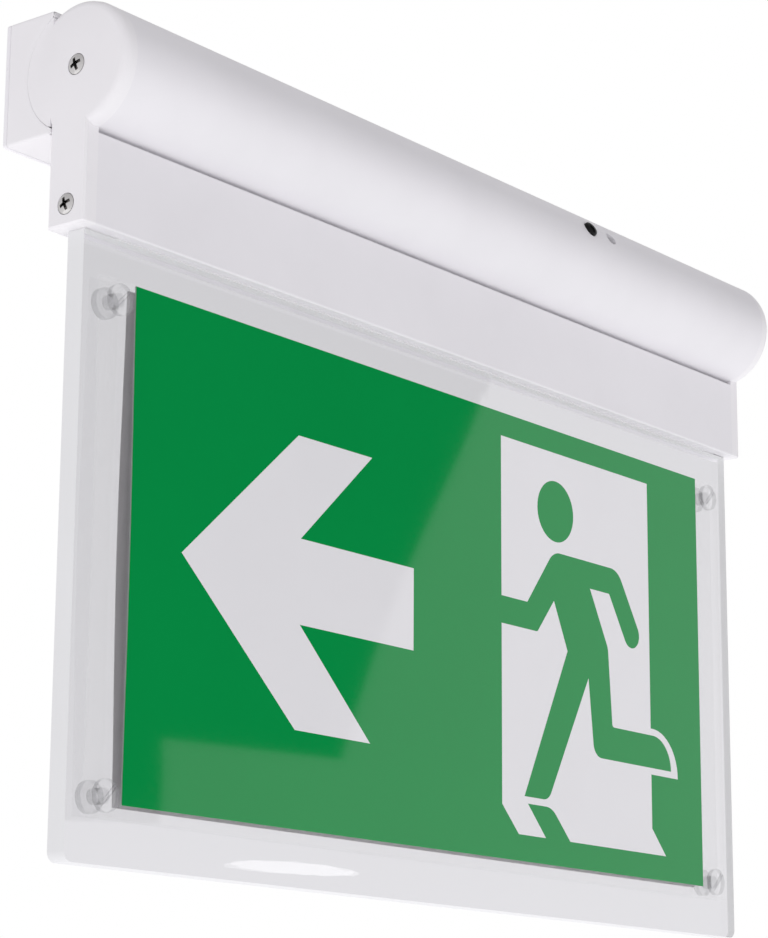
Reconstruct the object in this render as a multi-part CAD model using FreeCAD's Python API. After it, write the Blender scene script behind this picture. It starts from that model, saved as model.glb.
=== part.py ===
import FreeCAD, Part
import math
import os

# Illuminated exit sign for a wall or a ceiling.
# Frame: X runs along the tube, Y points into the wall and Z points up, in millimetres.
# The origin is the middle of the wall plate's rear face, level with the tube's axis.

# Tube and skirt
HOUSING_LENGTH = 352.0
TUBE_RADIUS = 19.5
TUBE_WALL = 1.8
TUBE_WALL_GAP = 9.8
SKIRT_DEPTH = 14.5
SKIRT_SETBACK = 2.3
SKIRT_HEIGHT = 28.7
SKIRT_WALL = 1.6
SHADOW_GAP_HEIGHT = 1.8
SHADOW_GAP_DEPTH = 2.0
SHELF_GAP = 4.1
SHELF_THICKNESS = 1.6
LIP_THICKNESS = 1.6

# End caps and their screws
CAP_BAND = 5.0
CAP_FACE = 2.2
CAP_RIM = 1.8
CAP_EDGE_RADIUS = 2.4
CAP_EDGE_TURNS = (0.0, 30.0, 60.0, 90.0)
CAP_SKIRT_CHAMFER = 0.6
SPIGOT_LENGTH = 3.0
SPIGOT_WALL = 1.5
SPIGOT_WIDTH = 9.0
SPIGOT_CLEARANCE = 0.15
SPIGOT_ANGLES = (20.0, 90.0, 160.0)
CAP_SCREW_RADIUS = 1.7
CAP_SCREW_HEAD_EDGE = 1.5
CAP_BOSS_EDGE = 0.8
CAP_SCREW_HEAD_HEIGHT = 1.8
CAP_SCREW_LENGTH = 12.0
LOWER_SCREW_RISE = 6.4
SCREW_CLEARANCE = 0.05

# Wall plate and base
PLATE_THICKNESS = 1.6
PLATE_CORNER_RADIUS = 1.0
BASE_INSET = 0.3
BASE_WALL = 2.2
BASE_EDGE_RADIUS = 1.0
BASE_LIP_CHAMFER = 0.5
SEAT_CLEARANCE = 0.3
WALL_HOLE_SPACING = 160.0
WALL_HOLE_RADIUS = 2.25
WALL_SLOT_LENGTH = 10.0
LUG_INSET = 41.0
LUG_WIDTH = 14.0
LUG_DEPTH = 6.5
LUG_THICKNESS = 1.2
LUG_HOOK = 0.6
LUG_CLEARANCE = 0.15
RIB_THICKNESS = 1.8
RIB_INSETS = (14.0, 54.0, 146.0)
RIB_PLATE_GAP = 0.4

# Swivel clamp between base and tube
CLAMP_INSET = 66.0
CLAMP_ANGLE = -25.0
SWIVEL_RANGE = 90.0
CLAMP_SCREW_RADIUS = 2.0
CLAMP_SCREW_CLEARANCE = 0.3
CLAMP_HEAD_EDGE = 1.8
CLAMP_HEAD_HEIGHT = 2.4
CLAMP_BOSS_EDGE = 1.2
CLAMP_BOSS_HEIGHT = 1.6
SHOE_LENGTH = 24.0
SHOE_WIDTH = 8.0
SHOE_THICKNESS = 4.0

# Cable entry
CABLE_INSET = 36.0
CABLE_HOLE_RADIUS = 8.0
GROMMET_WALL = 3.5
GROMMET_FLANGE = 2.5
GROMMET_FLANGE_THICKNESS = 1.6
GROMMET_CLEARANCE = 0.1
TUBE_WINDOW_START = 2.0
TUBE_WINDOW_END = 52.0
TUBE_WINDOW_LENGTH = 12.0
WINDOW_FLANGE = 2.0
BASE_WINDOW_ANGLE = 44.0

# Test button and indicator
CONTROL_ANGLE = 151.0
BUTTON_X = 60.0
BUTTON_RADIUS = 2.8
BUTTON_HOLE_CLEARANCE = 0.15
BUTTON_PROUD = 0.5
BUTTON_TRAVEL = 1.0
BUTTON_FLANGE_EDGE = 1.2
BUTTON_FLANGE_THICKNESS = 1.2
BUTTON_STEM_SIDE = 2.6
INDICATOR_PITCH = 13.0
INDICATOR_RADIUS = 2.2
INDICATOR_HOLE_CLEARANCE = 0.25
INDICATOR_RECESS = 1.4
CONTROL_NOTCH_ANGLE = 11.0
CONTROL_NOTCH_MARGIN = 7.0
SWITCH_SIDE = 6.0
SWITCH_HEIGHT = 3.5
SWITCH_FLOOR = 1.0
STATUS_BOARD_LENGTH = 30.0
STATUS_BOARD_WIDTH = 11.0
WING_DEPTH = 9.3

# Gear tray and what stands on it
TRAY_RISE = 4.3
TRAY_THICKNESS = 1.2
TRAY_EDGE_CLEARANCE = 0.1
TRAY_TAB_WIDTH = 12.0
TRAY_TAB_RISE = 6.0
BOARD_THICKNESS = 1.6
DRIVER_LENGTH = 90.0
DRIVER_WIDTH = 19.0
DRIVER_GAP = 40.0
PILLAR_HEIGHT = 3.0
PILLAR_RADIUS = 2.0
PILLAR_SIDES = 6
PILLAR_INSET = 3.5
TRANSFORMER_LENGTH = 20.0
TRANSFORMER_WIDTH = 16.0
TRANSFORMER_HEIGHT = 15.0
TRANSFORMER_OFFSET = -28.0
TRANSFORMER_FLANGE = 1.5
CAPACITOR_OFFSETS = (-6.0, 8.0, 19.0)
CAPACITOR_RADII = (5.0, 4.0, 3.0)
CAPACITOR_HEIGHTS = (14.0, 11.0, 8.0)
HEADER_LENGTH = 12.0
HEADER_WIDTH = 6.0
HEADER_HEIGHT = 7.0
HEADER_OFFSET = 36.0
HEADER_WALL = 1.0
TERMINAL_LENGTH = 30.0
TERMINAL_WIDTH = 14.0
TERMINAL_HEIGHT = 14.0
TERMINAL_GAP = 3.0
TERMINAL_WAYS = 3
TERMINAL_POCKET = 3.6
BATTERY_SLACK = 10.1
BATTERY_GAP = 10.0
BATTERY_END_GAP = 5.0
STRAP_WIDTH = 8.0
STRAP_THICKNESS = 1.0
STRAP_CLEARANCE = 0.1
STRAP_INSET = 20.0

# Light source
LED_END_GAP = 11.0
LED_BOARD_WIDTH = 8.0
LED_BOARD_THICKNESS = 1.2
LED_COUNT = 20
LED_LENGTH = 3.0
LED_WIDTH = 2.6
LED_HEIGHT = 0.8
LED_TO_PANEL = 0.6

# Panel and how it is held
PANEL_INSET = 4.6
PANEL_THICKNESS = 6.4
PANEL_BELOW_SHEET = 13.0
PANEL_CORNER_RADIUS = 3.0
PANEL_SLOT_CLEARANCE = 0.3
SHOULDER_CLEARANCE = 0.2
FRAME_END_LENGTH = 12.0
FRAME_END_GAP = 1.0
FRAME_TOP_GAP = 3.0
FRAME_CLEARANCE = 0.15
FRAME_SLOT_CLEARANCE = 0.2
PIN_RADIUS = 1.5
PIN_SPACING = 200.0
PIN_RISE = 8.2
PIN_CLEARANCE = 0.06

# Sign films and their studs
SHEET_INSET = 6.4
SHEET_HEIGHT = 154.0
SHEET_THICKNESS = 0.5
SHEET_TOP_GAP = 12.4
SHEET_BOW = 1.3
SHEET_FLAT = 12.0
SHEET_BOW_REACH = 205.0
STUD_INSET_X = 7.8
STUD_INSET_Z = 6.0
STUD_RADIUS = 2.3
STUD_CLEARANCE = 0.2
STUD_HEAD_EDGE = 2.4
STUD_HEAD_HEIGHT = 2.2
STUD_SLOT_WIDTH = 1.0
STUD_SLOT_DEPTH = 0.9
STUD_SLOT_TURN = 45.0

# Flat sides that shanks and their hidden holes are drawn with, and small heads, rings and cans
SHANK_SIDES = 12
HEAD_SIDES = 24

# Places worked out from the sizes above
CUT = 1.0
TINY = 1e-3
QUARTER_TURN = 90.0
AXIS_Y = -TUBE_RADIUS - TUBE_WALL_GAP
HOUSING_HALF = HOUSING_LENGTH / 2
PROFILE_HALF = HOUSING_HALF - CAP_BAND
SKIRT_DROP = TUBE_RADIUS + SKIRT_HEIGHT
SKIRT_FACE_DROP = TUBE_RADIUS + SHADOW_GAP_HEIGHT
SHELF_DROP = SKIRT_FACE_DROP + SHELF_GAP
BORE_RADIUS = TUBE_RADIUS - TUBE_WALL
SKIRT_CENTRE_Y = AXIS_Y + SKIRT_SETBACK
SKIRT_FRONT_Y = SKIRT_CENTRE_Y - SKIRT_DEPTH / 2
SKIRT_BACK_Y = SKIRT_CENTRE_Y + SKIRT_DEPTH / 2
CHANNEL_FRONT_Y = SKIRT_FRONT_Y + SKIRT_WALL
CHANNEL_BACK_Y = SKIRT_BACK_Y - SKIRT_WALL
CHANNEL_TOP_Z = -SHELF_DROP - SHELF_THICKNESS
LIP_TOP_Z = -SKIRT_DROP + LIP_THICKNESS
CAP_SCREW_HEAD_RADIUS = CAP_SCREW_RADIUS + CAP_SCREW_HEAD_EDGE
CAP_BOSS_RADIUS = CAP_SCREW_HEAD_RADIUS + CAP_BOSS_EDGE
LOWER_SCREW_DROP = SKIRT_DROP - LOWER_SCREW_RISE
BASE_RISE = TUBE_RADIUS - BASE_INSET
SEAT_RADIUS = TUBE_RADIUS + SEAT_CLEARANCE
LUG_SPACING = HOUSING_LENGTH - 2 * LUG_INSET
CLAMP_SPACING = HOUSING_LENGTH - 2 * CLAMP_INSET
CLAMP_HEAD_RADIUS = CLAMP_SCREW_RADIUS + CLAMP_HEAD_EDGE
CLAMP_BOSS_RADIUS = CLAMP_HEAD_RADIUS + CLAMP_BOSS_EDGE
CABLE_X = -HOUSING_HALF + CABLE_INSET
CABLE_BORE_RADIUS = CABLE_HOLE_RADIUS - GROMMET_WALL
BUTTON_FLANGE_RADIUS = BUTTON_RADIUS + BUTTON_FLANGE_EDGE
INDICATOR_X = BUTTON_X + INDICATOR_PITCH
WING_RADIUS = BORE_RADIUS - WING_DEPTH
SWITCH_BASE = WING_RADIUS + BOARD_THICKNESS
TRAY_DROP = BORE_RADIUS - TRAY_RISE
BASE_FRONT_Y = SKIRT_BACK_Y + SEAT_CLEARANCE
PANEL_FRONT_Y = SKIRT_CENTRE_Y - PANEL_THICKNESS / 2
PANEL_BACK_Y = SKIRT_CENTRE_Y + PANEL_THICKNESS / 2
LED_BOARD_LENGTH = 2 * (PROFILE_HALF - LED_END_GAP)
LED_PITCH = LED_BOARD_LENGTH / LED_COUNT
LED_BOTTOM_Z = CHANNEL_TOP_Z - LED_BOARD_THICKNESS - LED_HEIGHT
PANEL_TOP_Z = LED_BOTTOM_Z - LED_TO_PANEL
FRAME_HALF = PROFILE_HALF - FRAME_END_GAP
TRAY_HALF = PROFILE_HALF - SPIGOT_LENGTH - SPIGOT_CLEARANCE
TRAY_BOTTOM_Z = -TRAY_DROP - TRAY_THICKNESS
TRAY_HALF_WIDTH = math.sqrt(BORE_RADIUS**2 - TRAY_BOTTOM_Z**2) - TRAY_EDGE_CLEARANCE
TERMINAL_X = -HOUSING_HALF + CAP_SCREW_LENGTH + TERMINAL_GAP + TERMINAL_LENGTH / 2
DRIVER_X = TERMINAL_X + TERMINAL_LENGTH / 2 + DRIVER_GAP + DRIVER_LENGTH / 2
DRIVER_BASE_Z = -TRAY_DROP + PILLAR_HEIGHT
DRIVER_TOP_Z = DRIVER_BASE_Z + BOARD_THICKNESS
TRANSFORMER_X = DRIVER_X + TRANSFORMER_OFFSET
HEADER_X = DRIVER_X + HEADER_OFFSET
BATTERY_START = DRIVER_X + DRIVER_LENGTH / 2 + BATTERY_GAP
BATTERY_END = HOUSING_HALF - CAP_SCREW_LENGTH - BATTERY_END_GAP
BATTERY_RADIUS = BORE_RADIUS - BATTERY_SLACK
BATTERY_AXIS_Z = -TRAY_DROP + BATTERY_RADIUS
PANEL_WIDTH = HOUSING_LENGTH - 2 * PANEL_INSET
PANEL_SHOULDER_Z = -SKIRT_DROP - SHOULDER_CLEARANCE
PIN_DROP = SKIRT_DROP - PIN_RISE
SHEET_WIDTH = PANEL_WIDTH - 2 * SHEET_INSET
SHEET_TOP_Z = -SKIRT_DROP - SHEET_TOP_GAP
SHEET_BOTTOM_Z = SHEET_TOP_Z - SHEET_HEIGHT
SHEET_CENTRE_Z = SHEET_TOP_Z - SHEET_HEIGHT / 2
PANEL_BOTTOM_Z = SHEET_BOTTOM_Z - PANEL_BELOW_SHEET
STUD_SPACING_X = SHEET_WIDTH - 2 * STUD_INSET_X
STUD_SPACING_Z = SHEET_HEIGHT - 2 * STUD_INSET_Z
STUD_HEAD_RADIUS = STUD_RADIUS + STUD_HEAD_EDGE


def vec(x, y, z):
    return FreeCAD.Vector(x, y, z)


def block(x0, x1, y0, y1, z0, z1):
    """Box between two corners."""
    return Part.makeBox(x1 - x0, y1 - y0, z1 - z0, vec(x0, y0, z0))


def rod_x(x0, x1, y, z, radius):
    """Round bar along X."""
    return Part.makeCylinder(radius, x1 - x0, vec(x0, y, z), vec(1, 0, 0))


def rod_y(y0, y1, x, z, radius):
    """Round bar along Y."""
    return Part.makeCylinder(radius, y1 - y0, vec(x, y0, z), vec(0, 1, 0))


def flat_sided(start, out, length, radius, sides):
    """Bar with flat sides along a unit direction. Its corners lie on the radius."""
    across = out.cross(vec(1, 0, 0) if abs(out.x) < TINY else vec(0, 1, 0)).normalize()
    beside = out.cross(across)
    turns = [2 * math.pi * k / sides for k in range(sides)]
    corners = [start + across * (radius * math.cos(t)) + beside * (radius * math.sin(t)) for t in turns]
    return Part.Face(Part.makePolygon(corners + corners[:1])).extrude(out * length)


def shank(start, out, length, radius):
    """Shank of a screw or a stud, or a pin."""
    return flat_sided(start, out, length, radius, SHANK_SIDES)


def round_head(start, out, length, radius):
    """Small round head, ring or can."""
    return flat_sided(start, out, length, radius, HEAD_SIDES)


def shank_hole(start, out, length, radius):
    """Space for a shank. Its flat sides clear the radius, and it is cut past both ends."""
    corner_radius = radius / math.cos(math.pi / SHANK_SIDES)
    return flat_sided(start - out * CUT, out, length + 2 * CUT, corner_radius, SHANK_SIDES)


def tube_direction(angle):
    """Direction out of the tube's axis. 0 degrees points to the wall and 90 degrees points up."""
    turn = math.radians(angle)
    return vec(0, math.cos(turn), math.sin(turn))


def tube_point(x, radius, angle):
    """Point at a radius and an angle round the tube's axis."""
    return vec(x, AXIS_Y, 0) + tube_direction(angle) * radius


def rod_radial(x, angle, r0, r1, radius):
    """Round bar that stands out of the tube's axis between two radii."""
    return Part.makeCylinder(radius, r1 - r0, tube_point(x, r0, angle), tube_direction(angle))


def radial_block(x0, x1, r0, r1, width, angle):
    """Block that faces out of the tube's axis at an angle, between two distances from the axis."""
    out = tube_direction(angle)
    beside = tube_direction(angle + QUARTER_TURN)
    centre = vec(x0, AXIS_Y, 0)
    corners = [centre + out * r + beside * w for r, w in
               ((r0, -width / 2), (r1, -width / 2), (r1, width / 2), (r0, width / 2))]
    return Part.Face(Part.makePolygon(corners + corners[:1])).extrude(vec(x1 - x0, 0, 0))


def prism_yz(points, x0, x1):
    """Outline in the YZ plane, drawn out along X."""
    corners = [vec(x0, y, z) for y, z in points]
    face = Part.Face(Part.makePolygon(corners + corners[:1]))
    return face.extrude(vec(x1 - x0, 0, 0))


def prism_xz(points, y0, y1):
    """Outline in the XZ plane, drawn out along Y."""
    corners = [vec(x, y0, z) for x, z in points]
    face = Part.Face(Part.makePolygon(corners + corners[:1]))
    return face.extrude(vec(0, y1 - y0, 0))


def arc_band(r0, r1, start, end, x0, x1):
    """Part of a ring round the tube's axis, drawn out along X."""
    middle = (start + end) / 2
    inner = [tube_point(x0, r0, angle) for angle in (start, middle, end)]
    outer = [tube_point(x0, r1, angle) for angle in (start, middle, end)]
    edges = [
        Part.Arc(*outer).toShape(),
        Part.makeLine(outer[2], inner[2]),
        Part.Arc(*reversed(inner)).toShape(),
        Part.makeLine(inner[0], outer[0]),
    ]
    face = Part.Face(Part.Wire(edges))
    return face.extrude(vec(x1 - x0, 0, 0))


def keyhole(inset, x0, x1):
    """Outline of the tube with its skirt, drawn out along X. The inset moves the outline inwards."""
    radius = TUBE_RADIUS - inset
    skirt = block(x0, x1, SKIRT_FRONT_Y + inset, SKIRT_BACK_Y - inset, -SKIRT_DROP + inset, 0)
    return rod_x(x0, x1, AXIS_Y, 0, radius).fuse(skirt).removeSplitter()


def edges_where(shape, test):
    """Edges whose middle passes a test."""
    return [e for e in shape.Edges if test(e.CenterOfMass)]


def mirrored_x(shape):
    """Copy on the other side of the sign."""
    return shape.mirror(vec(0, 0, 0), vec(1, 0, 0))


def group(shapes):
    """Separate solids kept in one node."""
    return Part.makeCompound(shapes)


def both(spacing):
    """The two places of a pair that is centred on the sign."""
    return (-spacing / 2, spacing / 2)


def make_wall_plate():
    """Plate on the wall, with slotted screw holes, a cable hole and hooked lugs for the base."""
    plate = block(-HOUSING_HALF, HOUSING_HALF, -PLATE_THICKNESS, 0, -BASE_RISE, BASE_RISE)
    corners = [e for e in plate.Edges if abs(e.Length - PLATE_THICKNESS) < TINY]
    plate = plate.makeFillet(PLATE_CORNER_RADIUS, corners)
    for x in both(WALL_HOLE_SPACING):
        reach = WALL_SLOT_LENGTH / 2 - WALL_HOLE_RADIUS
        low, high = -PLATE_THICKNESS - CUT, CUT
        slot = block(x - reach, x + reach, low, high, -WALL_HOLE_RADIUS, WALL_HOLE_RADIUS)
        slot = slot.fuse([rod_y(low, high, x + s * reach, 0, WALL_HOLE_RADIUS) for s in (-1, 1)])
        plate = plate.cut(slot)
    plate = plate.cut(rod_y(-PLATE_THICKNESS - CUT, CUT, CABLE_X, 0, CABLE_HOLE_RADIUS))
    lug_top = BASE_RISE - BASE_WALL - LUG_CLEARANCE
    tip = -PLATE_THICKNESS - LUG_DEPTH
    outline = [
        (-PLATE_THICKNESS, lug_top),
        (tip + 3 * LUG_HOOK, lug_top),
        (tip + 2 * LUG_HOOK, lug_top + LUG_HOOK),
        (tip, lug_top - LUG_HOOK),
        (tip, lug_top - LUG_THICKNESS),
        (-PLATE_THICKNESS, lug_top - LUG_THICKNESS),
    ]
    for x in both(LUG_SPACING):
        upper = prism_yz(outline, x - LUG_WIDTH / 2, x + LUG_WIDTH / 2)
        lower = upper.mirror(vec(0, 0, 0), vec(0, 0, 1))
        plate = plate.fuse([upper, lower])
    return plate.removeSplitter()


def make_cable_grommet():
    """Rubber ring in the wall plate's cable hole, flush with the wall."""
    depth = PLATE_THICKNESS + GROMMET_FLANGE_THICKNESS
    front = vec(CABLE_X, -depth, 0)
    to_wall = vec(0, 1, 0)
    sleeve = round_head(front, to_wall, depth, CABLE_HOLE_RADIUS - GROMMET_CLEARANCE)
    flange = round_head(front, to_wall, GROMMET_FLANGE_THICKNESS, CABLE_HOLE_RADIUS + GROMMET_FLANGE)
    bore = round_head(front - to_wall * CUT, to_wall, depth + 2 * CUT, CABLE_BORE_RADIUS)
    return sleeve.fuse(flange).cut(bore).removeSplitter()


def make_swivel_base():
    """Moulded box, open to the wall, with a round seat for the tube."""
    half = HOUSING_HALF
    rise = BASE_RISE
    rear = -PLATE_THICKNESS
    solid = block(-half, half, BASE_FRONT_Y, rear, -rise, rise)
    ends = edges_where(solid, lambda c: abs(c.x) > half - TINY and abs(c.z) > rise - TINY)
    solid = solid.makeFillet(BASE_EDGE_RADIUS, ends)
    lips = edges_where(solid, lambda c: c.y < BASE_FRONT_Y + TINY and abs(c.z) > rise - TINY)
    solid = solid.makeChamfer(BASE_LIP_CHAMFER, lips)
    seat = rod_x(-half - CUT, half + CUT, AXIS_Y, 0, SEAT_RADIUS)
    inside = block(-half + BASE_WALL, half - BASE_WALL, BASE_FRONT_Y - CUT, rear + CUT,
                   -rise + BASE_WALL, rise - BASE_WALL)
    cavity = inside.cut(rod_x(-half - CUT, half + CUT, AXIS_Y, 0, SEAT_RADIUS + BASE_WALL))
    shell = solid.cut(seat).cut(cavity)

    # Cross ribs, open in the middle for the cable
    rib_rear = rear - RIB_PLATE_GAP
    seat_back = AXIS_Y + SEAT_RADIUS
    ribs = []
    for inset in RIB_INSETS:
        for x in both(HOUSING_LENGTH - 2 * inset):
            slab = block(x - RIB_THICKNESS / 2, x + RIB_THICKNESS / 2, BASE_FRONT_Y, rib_rear, -rise, rise)
            gate = block(x - RIB_THICKNESS, x + RIB_THICKNESS, seat_back, rear,
                         -CABLE_HOLE_RADIUS, CABLE_HOLE_RADIUS)
            ribs.append(slab.common(cavity).cut(gate))
    shell = shell.fuse(ribs)

    # Clamp bosses with their screw holes
    boss_top = SEAT_RADIUS + BASE_WALL + CLAMP_BOSS_HEIGHT
    out = tube_direction(CLAMP_ANGLE)
    for x in both(CLAMP_SPACING):
        boss_foot = SEAT_RADIUS + BASE_WALL / 2
        shell = shell.fuse(shank(tube_point(x, boss_foot, CLAMP_ANGLE), out, boss_top - boss_foot,
                                 CLAMP_BOSS_RADIUS))
        shell = shell.cut(shank_hole(tube_point(x, SEAT_RADIUS, CLAMP_ANGLE), out, boss_top - SEAT_RADIUS,
                                     CLAMP_SCREW_RADIUS + CLAMP_SCREW_CLEARANCE))

    # Cable window in the seat
    window = arc_band(TUBE_RADIUS, SEAT_RADIUS + BASE_WALL + CUT, -BASE_WINDOW_ANGLE, BASE_WINDOW_ANGLE,
                      CABLE_X - TUBE_WINDOW_LENGTH / 2, CABLE_X + TUBE_WINDOW_LENGTH / 2)
    shell = shell.cut(window)

    # Notch in the upper lip, over the button and the indicator when the tube is turned up
    notch_low = CONTROL_ANGLE - SWIVEL_RANGE - CONTROL_NOTCH_ANGLE
    notch = arc_band(TUBE_RADIUS, SEAT_RADIUS + 2 * BASE_WALL, notch_low, QUARTER_TURN,
                     BUTTON_X - CONTROL_NOTCH_MARGIN, INDICATOR_X + CONTROL_NOTCH_MARGIN)
    shell = shell.cut(notch)

    # Pockets that the wall plate's hooks catch in
    tip = rear - LUG_DEPTH
    pocket_top = rise - BASE_WALL + LUG_HOOK + LUG_CLEARANCE
    for x in both(LUG_SPACING):
        for side in (-1, 1):
            z0, z1 = sorted((side * (rise - BASE_WALL - CUT), side * pocket_top))
            reach = LUG_WIDTH / 2 + LUG_CLEARANCE
            shell = shell.cut(block(x - reach, x + reach, tip - LUG_CLEARANCE,
                                    tip + 3 * LUG_HOOK + LUG_CLEARANCE, z0, z1))
    return shell.removeSplitter()


def make_clamp_screws():
    """Pan head screws from the base, through the tube's slots, into the shoes."""
    head_seat = SEAT_RADIUS + BASE_WALL + CLAMP_BOSS_HEIGHT
    tip = BORE_RADIUS - SEAT_CLEARANCE - SHOE_THICKNESS
    out = tube_direction(CLAMP_ANGLE)
    screws = []
    for x in both(CLAMP_SPACING):
        stem = shank(tube_point(x, tip, CLAMP_ANGLE), out, head_seat - tip, CLAMP_SCREW_RADIUS)
        head = round_head(tube_point(x, head_seat, CLAMP_ANGLE), out, CLAMP_HEAD_HEIGHT, CLAMP_HEAD_RADIUS)
        screws.append(stem.fuse(head).removeSplitter())
    return group(screws)


def make_clamp_shoes():
    """Curved nuts inside the tube that the clamp screws pull against its wall."""
    outer = BORE_RADIUS - SEAT_CLEARANCE
    inner = outer - SHOE_THICKNESS
    spread = math.degrees(SHOE_WIDTH / 2 / outer)
    shoes = []
    for x in both(CLAMP_SPACING):
        shoe = arc_band(inner, outer, CLAMP_ANGLE - spread, CLAMP_ANGLE + spread,
                        x - SHOE_LENGTH / 2, x + SHOE_LENGTH / 2)
        hole = shank_hole(tube_point(x, inner, CLAMP_ANGLE), tube_direction(CLAMP_ANGLE), SHOE_THICKNESS,
                          CLAMP_SCREW_RADIUS + SCREW_CLEARANCE)
        shoes.append(shoe.cut(hole))
    return group(shoes)


def swivel_slot(x):
    """Slot round the tube that lets it turn past a clamp screw."""
    half_width = CLAMP_SCREW_RADIUS + CLAMP_SCREW_CLEARANCE
    inner, outer = BORE_RADIUS - CUT, TUBE_RADIUS + CUT
    end = CLAMP_ANGLE + SWIVEL_RANGE
    slot = arc_band(inner, outer, CLAMP_ANGLE, end, x - half_width, x + half_width)
    return slot.fuse([rod_radial(x, a, inner, outer, half_width) for a in (CLAMP_ANGLE, end)])


def make_tube_housing():
    """Extruded tube with a skirt: one profile, then slots and holes."""
    x0, x1 = -PROFILE_HALF, PROFILE_HALF
    past0, past1 = x0 - CUT, x1 + CUT
    tube = rod_x(past0, past1, AXIS_Y, 0, TUBE_RADIUS)
    profile = keyhole(0, x0, x1)
    profile = profile.cut(rod_x(past0, past1, AXIS_Y, 0, BORE_RADIUS))

    # Shadow gap between the tube and the front of the skirt
    gap_end = SKIRT_FRONT_Y + SHADOW_GAP_DEPTH
    gap = block(past0, past1, SKIRT_FRONT_Y - CUT, gap_end, -SKIRT_FACE_DROP, 0).cut(tube)
    profile = profile.cut(gap)

    # Hollow between the tube and the shelf, stepped round the shadow gap
    hollow_outline = [
        (CHANNEL_FRONT_Y, -SHELF_DROP),
        (CHANNEL_BACK_Y, -SHELF_DROP),
        (CHANNEL_BACK_Y, 0),
        (gap_end + SKIRT_WALL, 0),
        (gap_end + SKIRT_WALL, -SKIRT_FACE_DROP - SKIRT_WALL),
        (CHANNEL_FRONT_Y, -SKIRT_FACE_DROP - SKIRT_WALL),
    ]
    profile = profile.cut(prism_yz(hollow_outline, past0, past1).cut(tube))

    # Channel for light source and panel, narrowed by lips at its mouth
    profile = profile.cut(block(past0, past1, CHANNEL_FRONT_Y, CHANNEL_BACK_Y, LIP_TOP_Z, CHANNEL_TOP_Z))
    mouth = (PANEL_FRONT_Y - PANEL_SLOT_CLEARANCE, PANEL_BACK_Y + PANEL_SLOT_CLEARANCE)
    profile = profile.cut(block(past0, past1, mouth[0], mouth[1], -SKIRT_DROP - CUT, LIP_TOP_Z + CUT))

    # Openings in the tube's wall
    for x in both(CLAMP_SPACING):
        profile = profile.cut(swivel_slot(x))
    profile = profile.cut(arc_band(BORE_RADIUS - CUT, TUBE_RADIUS + CUT, TUBE_WINDOW_START, TUBE_WINDOW_END,
                                   CABLE_X - TUBE_WINDOW_LENGTH / 2, CABLE_X + TUBE_WINDOW_LENGTH / 2))
    holes = ((BUTTON_X, BUTTON_RADIUS + BUTTON_HOLE_CLEARANCE),
             (INDICATOR_X, INDICATOR_RADIUS + INDICATOR_HOLE_CLEARANCE))
    for x, radius in holes:
        profile = profile.cut(rod_radial(x, CONTROL_ANGLE, BORE_RADIUS - CUT, TUBE_RADIUS + CUT, radius))
    return profile.removeSplitter()


def make_slot_grommet():
    """Rubber membrane that closes the tube's cable window, with a hole for the cable."""
    turn = math.degrees(GROMMET_CLEARANCE / TUBE_RADIUS)
    reach = TUBE_WINDOW_LENGTH / 2 - GROMMET_CLEARANCE
    plug = arc_band(BORE_RADIUS - GROMMET_CLEARANCE, TUBE_RADIUS,
                    TUBE_WINDOW_START + turn, TUBE_WINDOW_END - turn, CABLE_X - reach, CABLE_X + reach)
    spread = math.degrees(WINDOW_FLANGE / TUBE_RADIUS)
    flange_reach = TUBE_WINDOW_LENGTH / 2 + WINDOW_FLANGE
    flange_outer = BORE_RADIUS - GROMMET_CLEARANCE
    flange = arc_band(flange_outer - GROMMET_FLANGE_THICKNESS, flange_outer,
                      TUBE_WINDOW_START - spread, TUBE_WINDOW_END + spread,
                      CABLE_X - flange_reach, CABLE_X + flange_reach)
    middle = (TUBE_WINDOW_START + TUBE_WINDOW_END) / 2
    flange_inner = flange_outer - GROMMET_FLANGE_THICKNESS
    foot = tube_point(CABLE_X, flange_inner, middle)
    hole = shank_hole(foot, tube_direction(middle), TUBE_RADIUS - flange_inner, CABLE_BORE_RADIUS)
    return plug.fuse(flange).cut(hole).removeSplitter()


def cap_screw_places():
    """Upper screw on the tube's axis and lower screw in the middle of the skirt, as Y and Z."""
    return ((AXIS_Y, 0.0), (SKIRT_CENTRE_Y, -LOWER_SCREW_DROP))


def cap_disc():
    """Round part of the right-hand cap, with a rounded edge where the base doesn't cover it."""
    outer = HOUSING_HALF
    start = outer - CAP_EDGE_RADIUS
    sharp = rod_x(PROFILE_HALF, outer, AXIS_Y, 0, TUBE_RADIUS)
    steps = [math.radians(angle) for angle in CAP_EDGE_TURNS]
    places = [start + CAP_EDGE_RADIUS * math.sin(turn) for turn in steps]
    radii = [TUBE_RADIUS - CAP_EDGE_RADIUS * (1 - math.cos(turn)) for turn in steps]
    edge = rod_x(start, outer + CUT, AXIS_Y, 0, TUBE_RADIUS + CUT)
    for k in range(len(steps) - 1):
        edge = edge.cut(Part.makeCone(radii[k], radii[k + 1], places[k + 1] - places[k],
                                      vec(places[k], AXIS_Y, 0), vec(1, 0, 0)))
    reach = TUBE_RADIUS + 2 * CUT
    shown = block(start, outer + CUT, AXIS_Y - reach, BASE_FRONT_Y, -reach, reach)
    return sharp.cut(edge.common(shown))


def cap_skirt():
    """Lower part of the right-hand cap, with chamfered edges round its end face."""
    outer = HOUSING_HALF
    skirt = block(PROFILE_HALF, outer, SKIRT_FRONT_Y, SKIRT_BACK_Y, -SKIRT_DROP, 0)
    rim = edges_where(skirt, lambda c: c.x > outer - TINY and c.z < -TINY)
    return skirt.makeChamfer(CAP_SKIRT_CHAMFER, rim)


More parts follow.
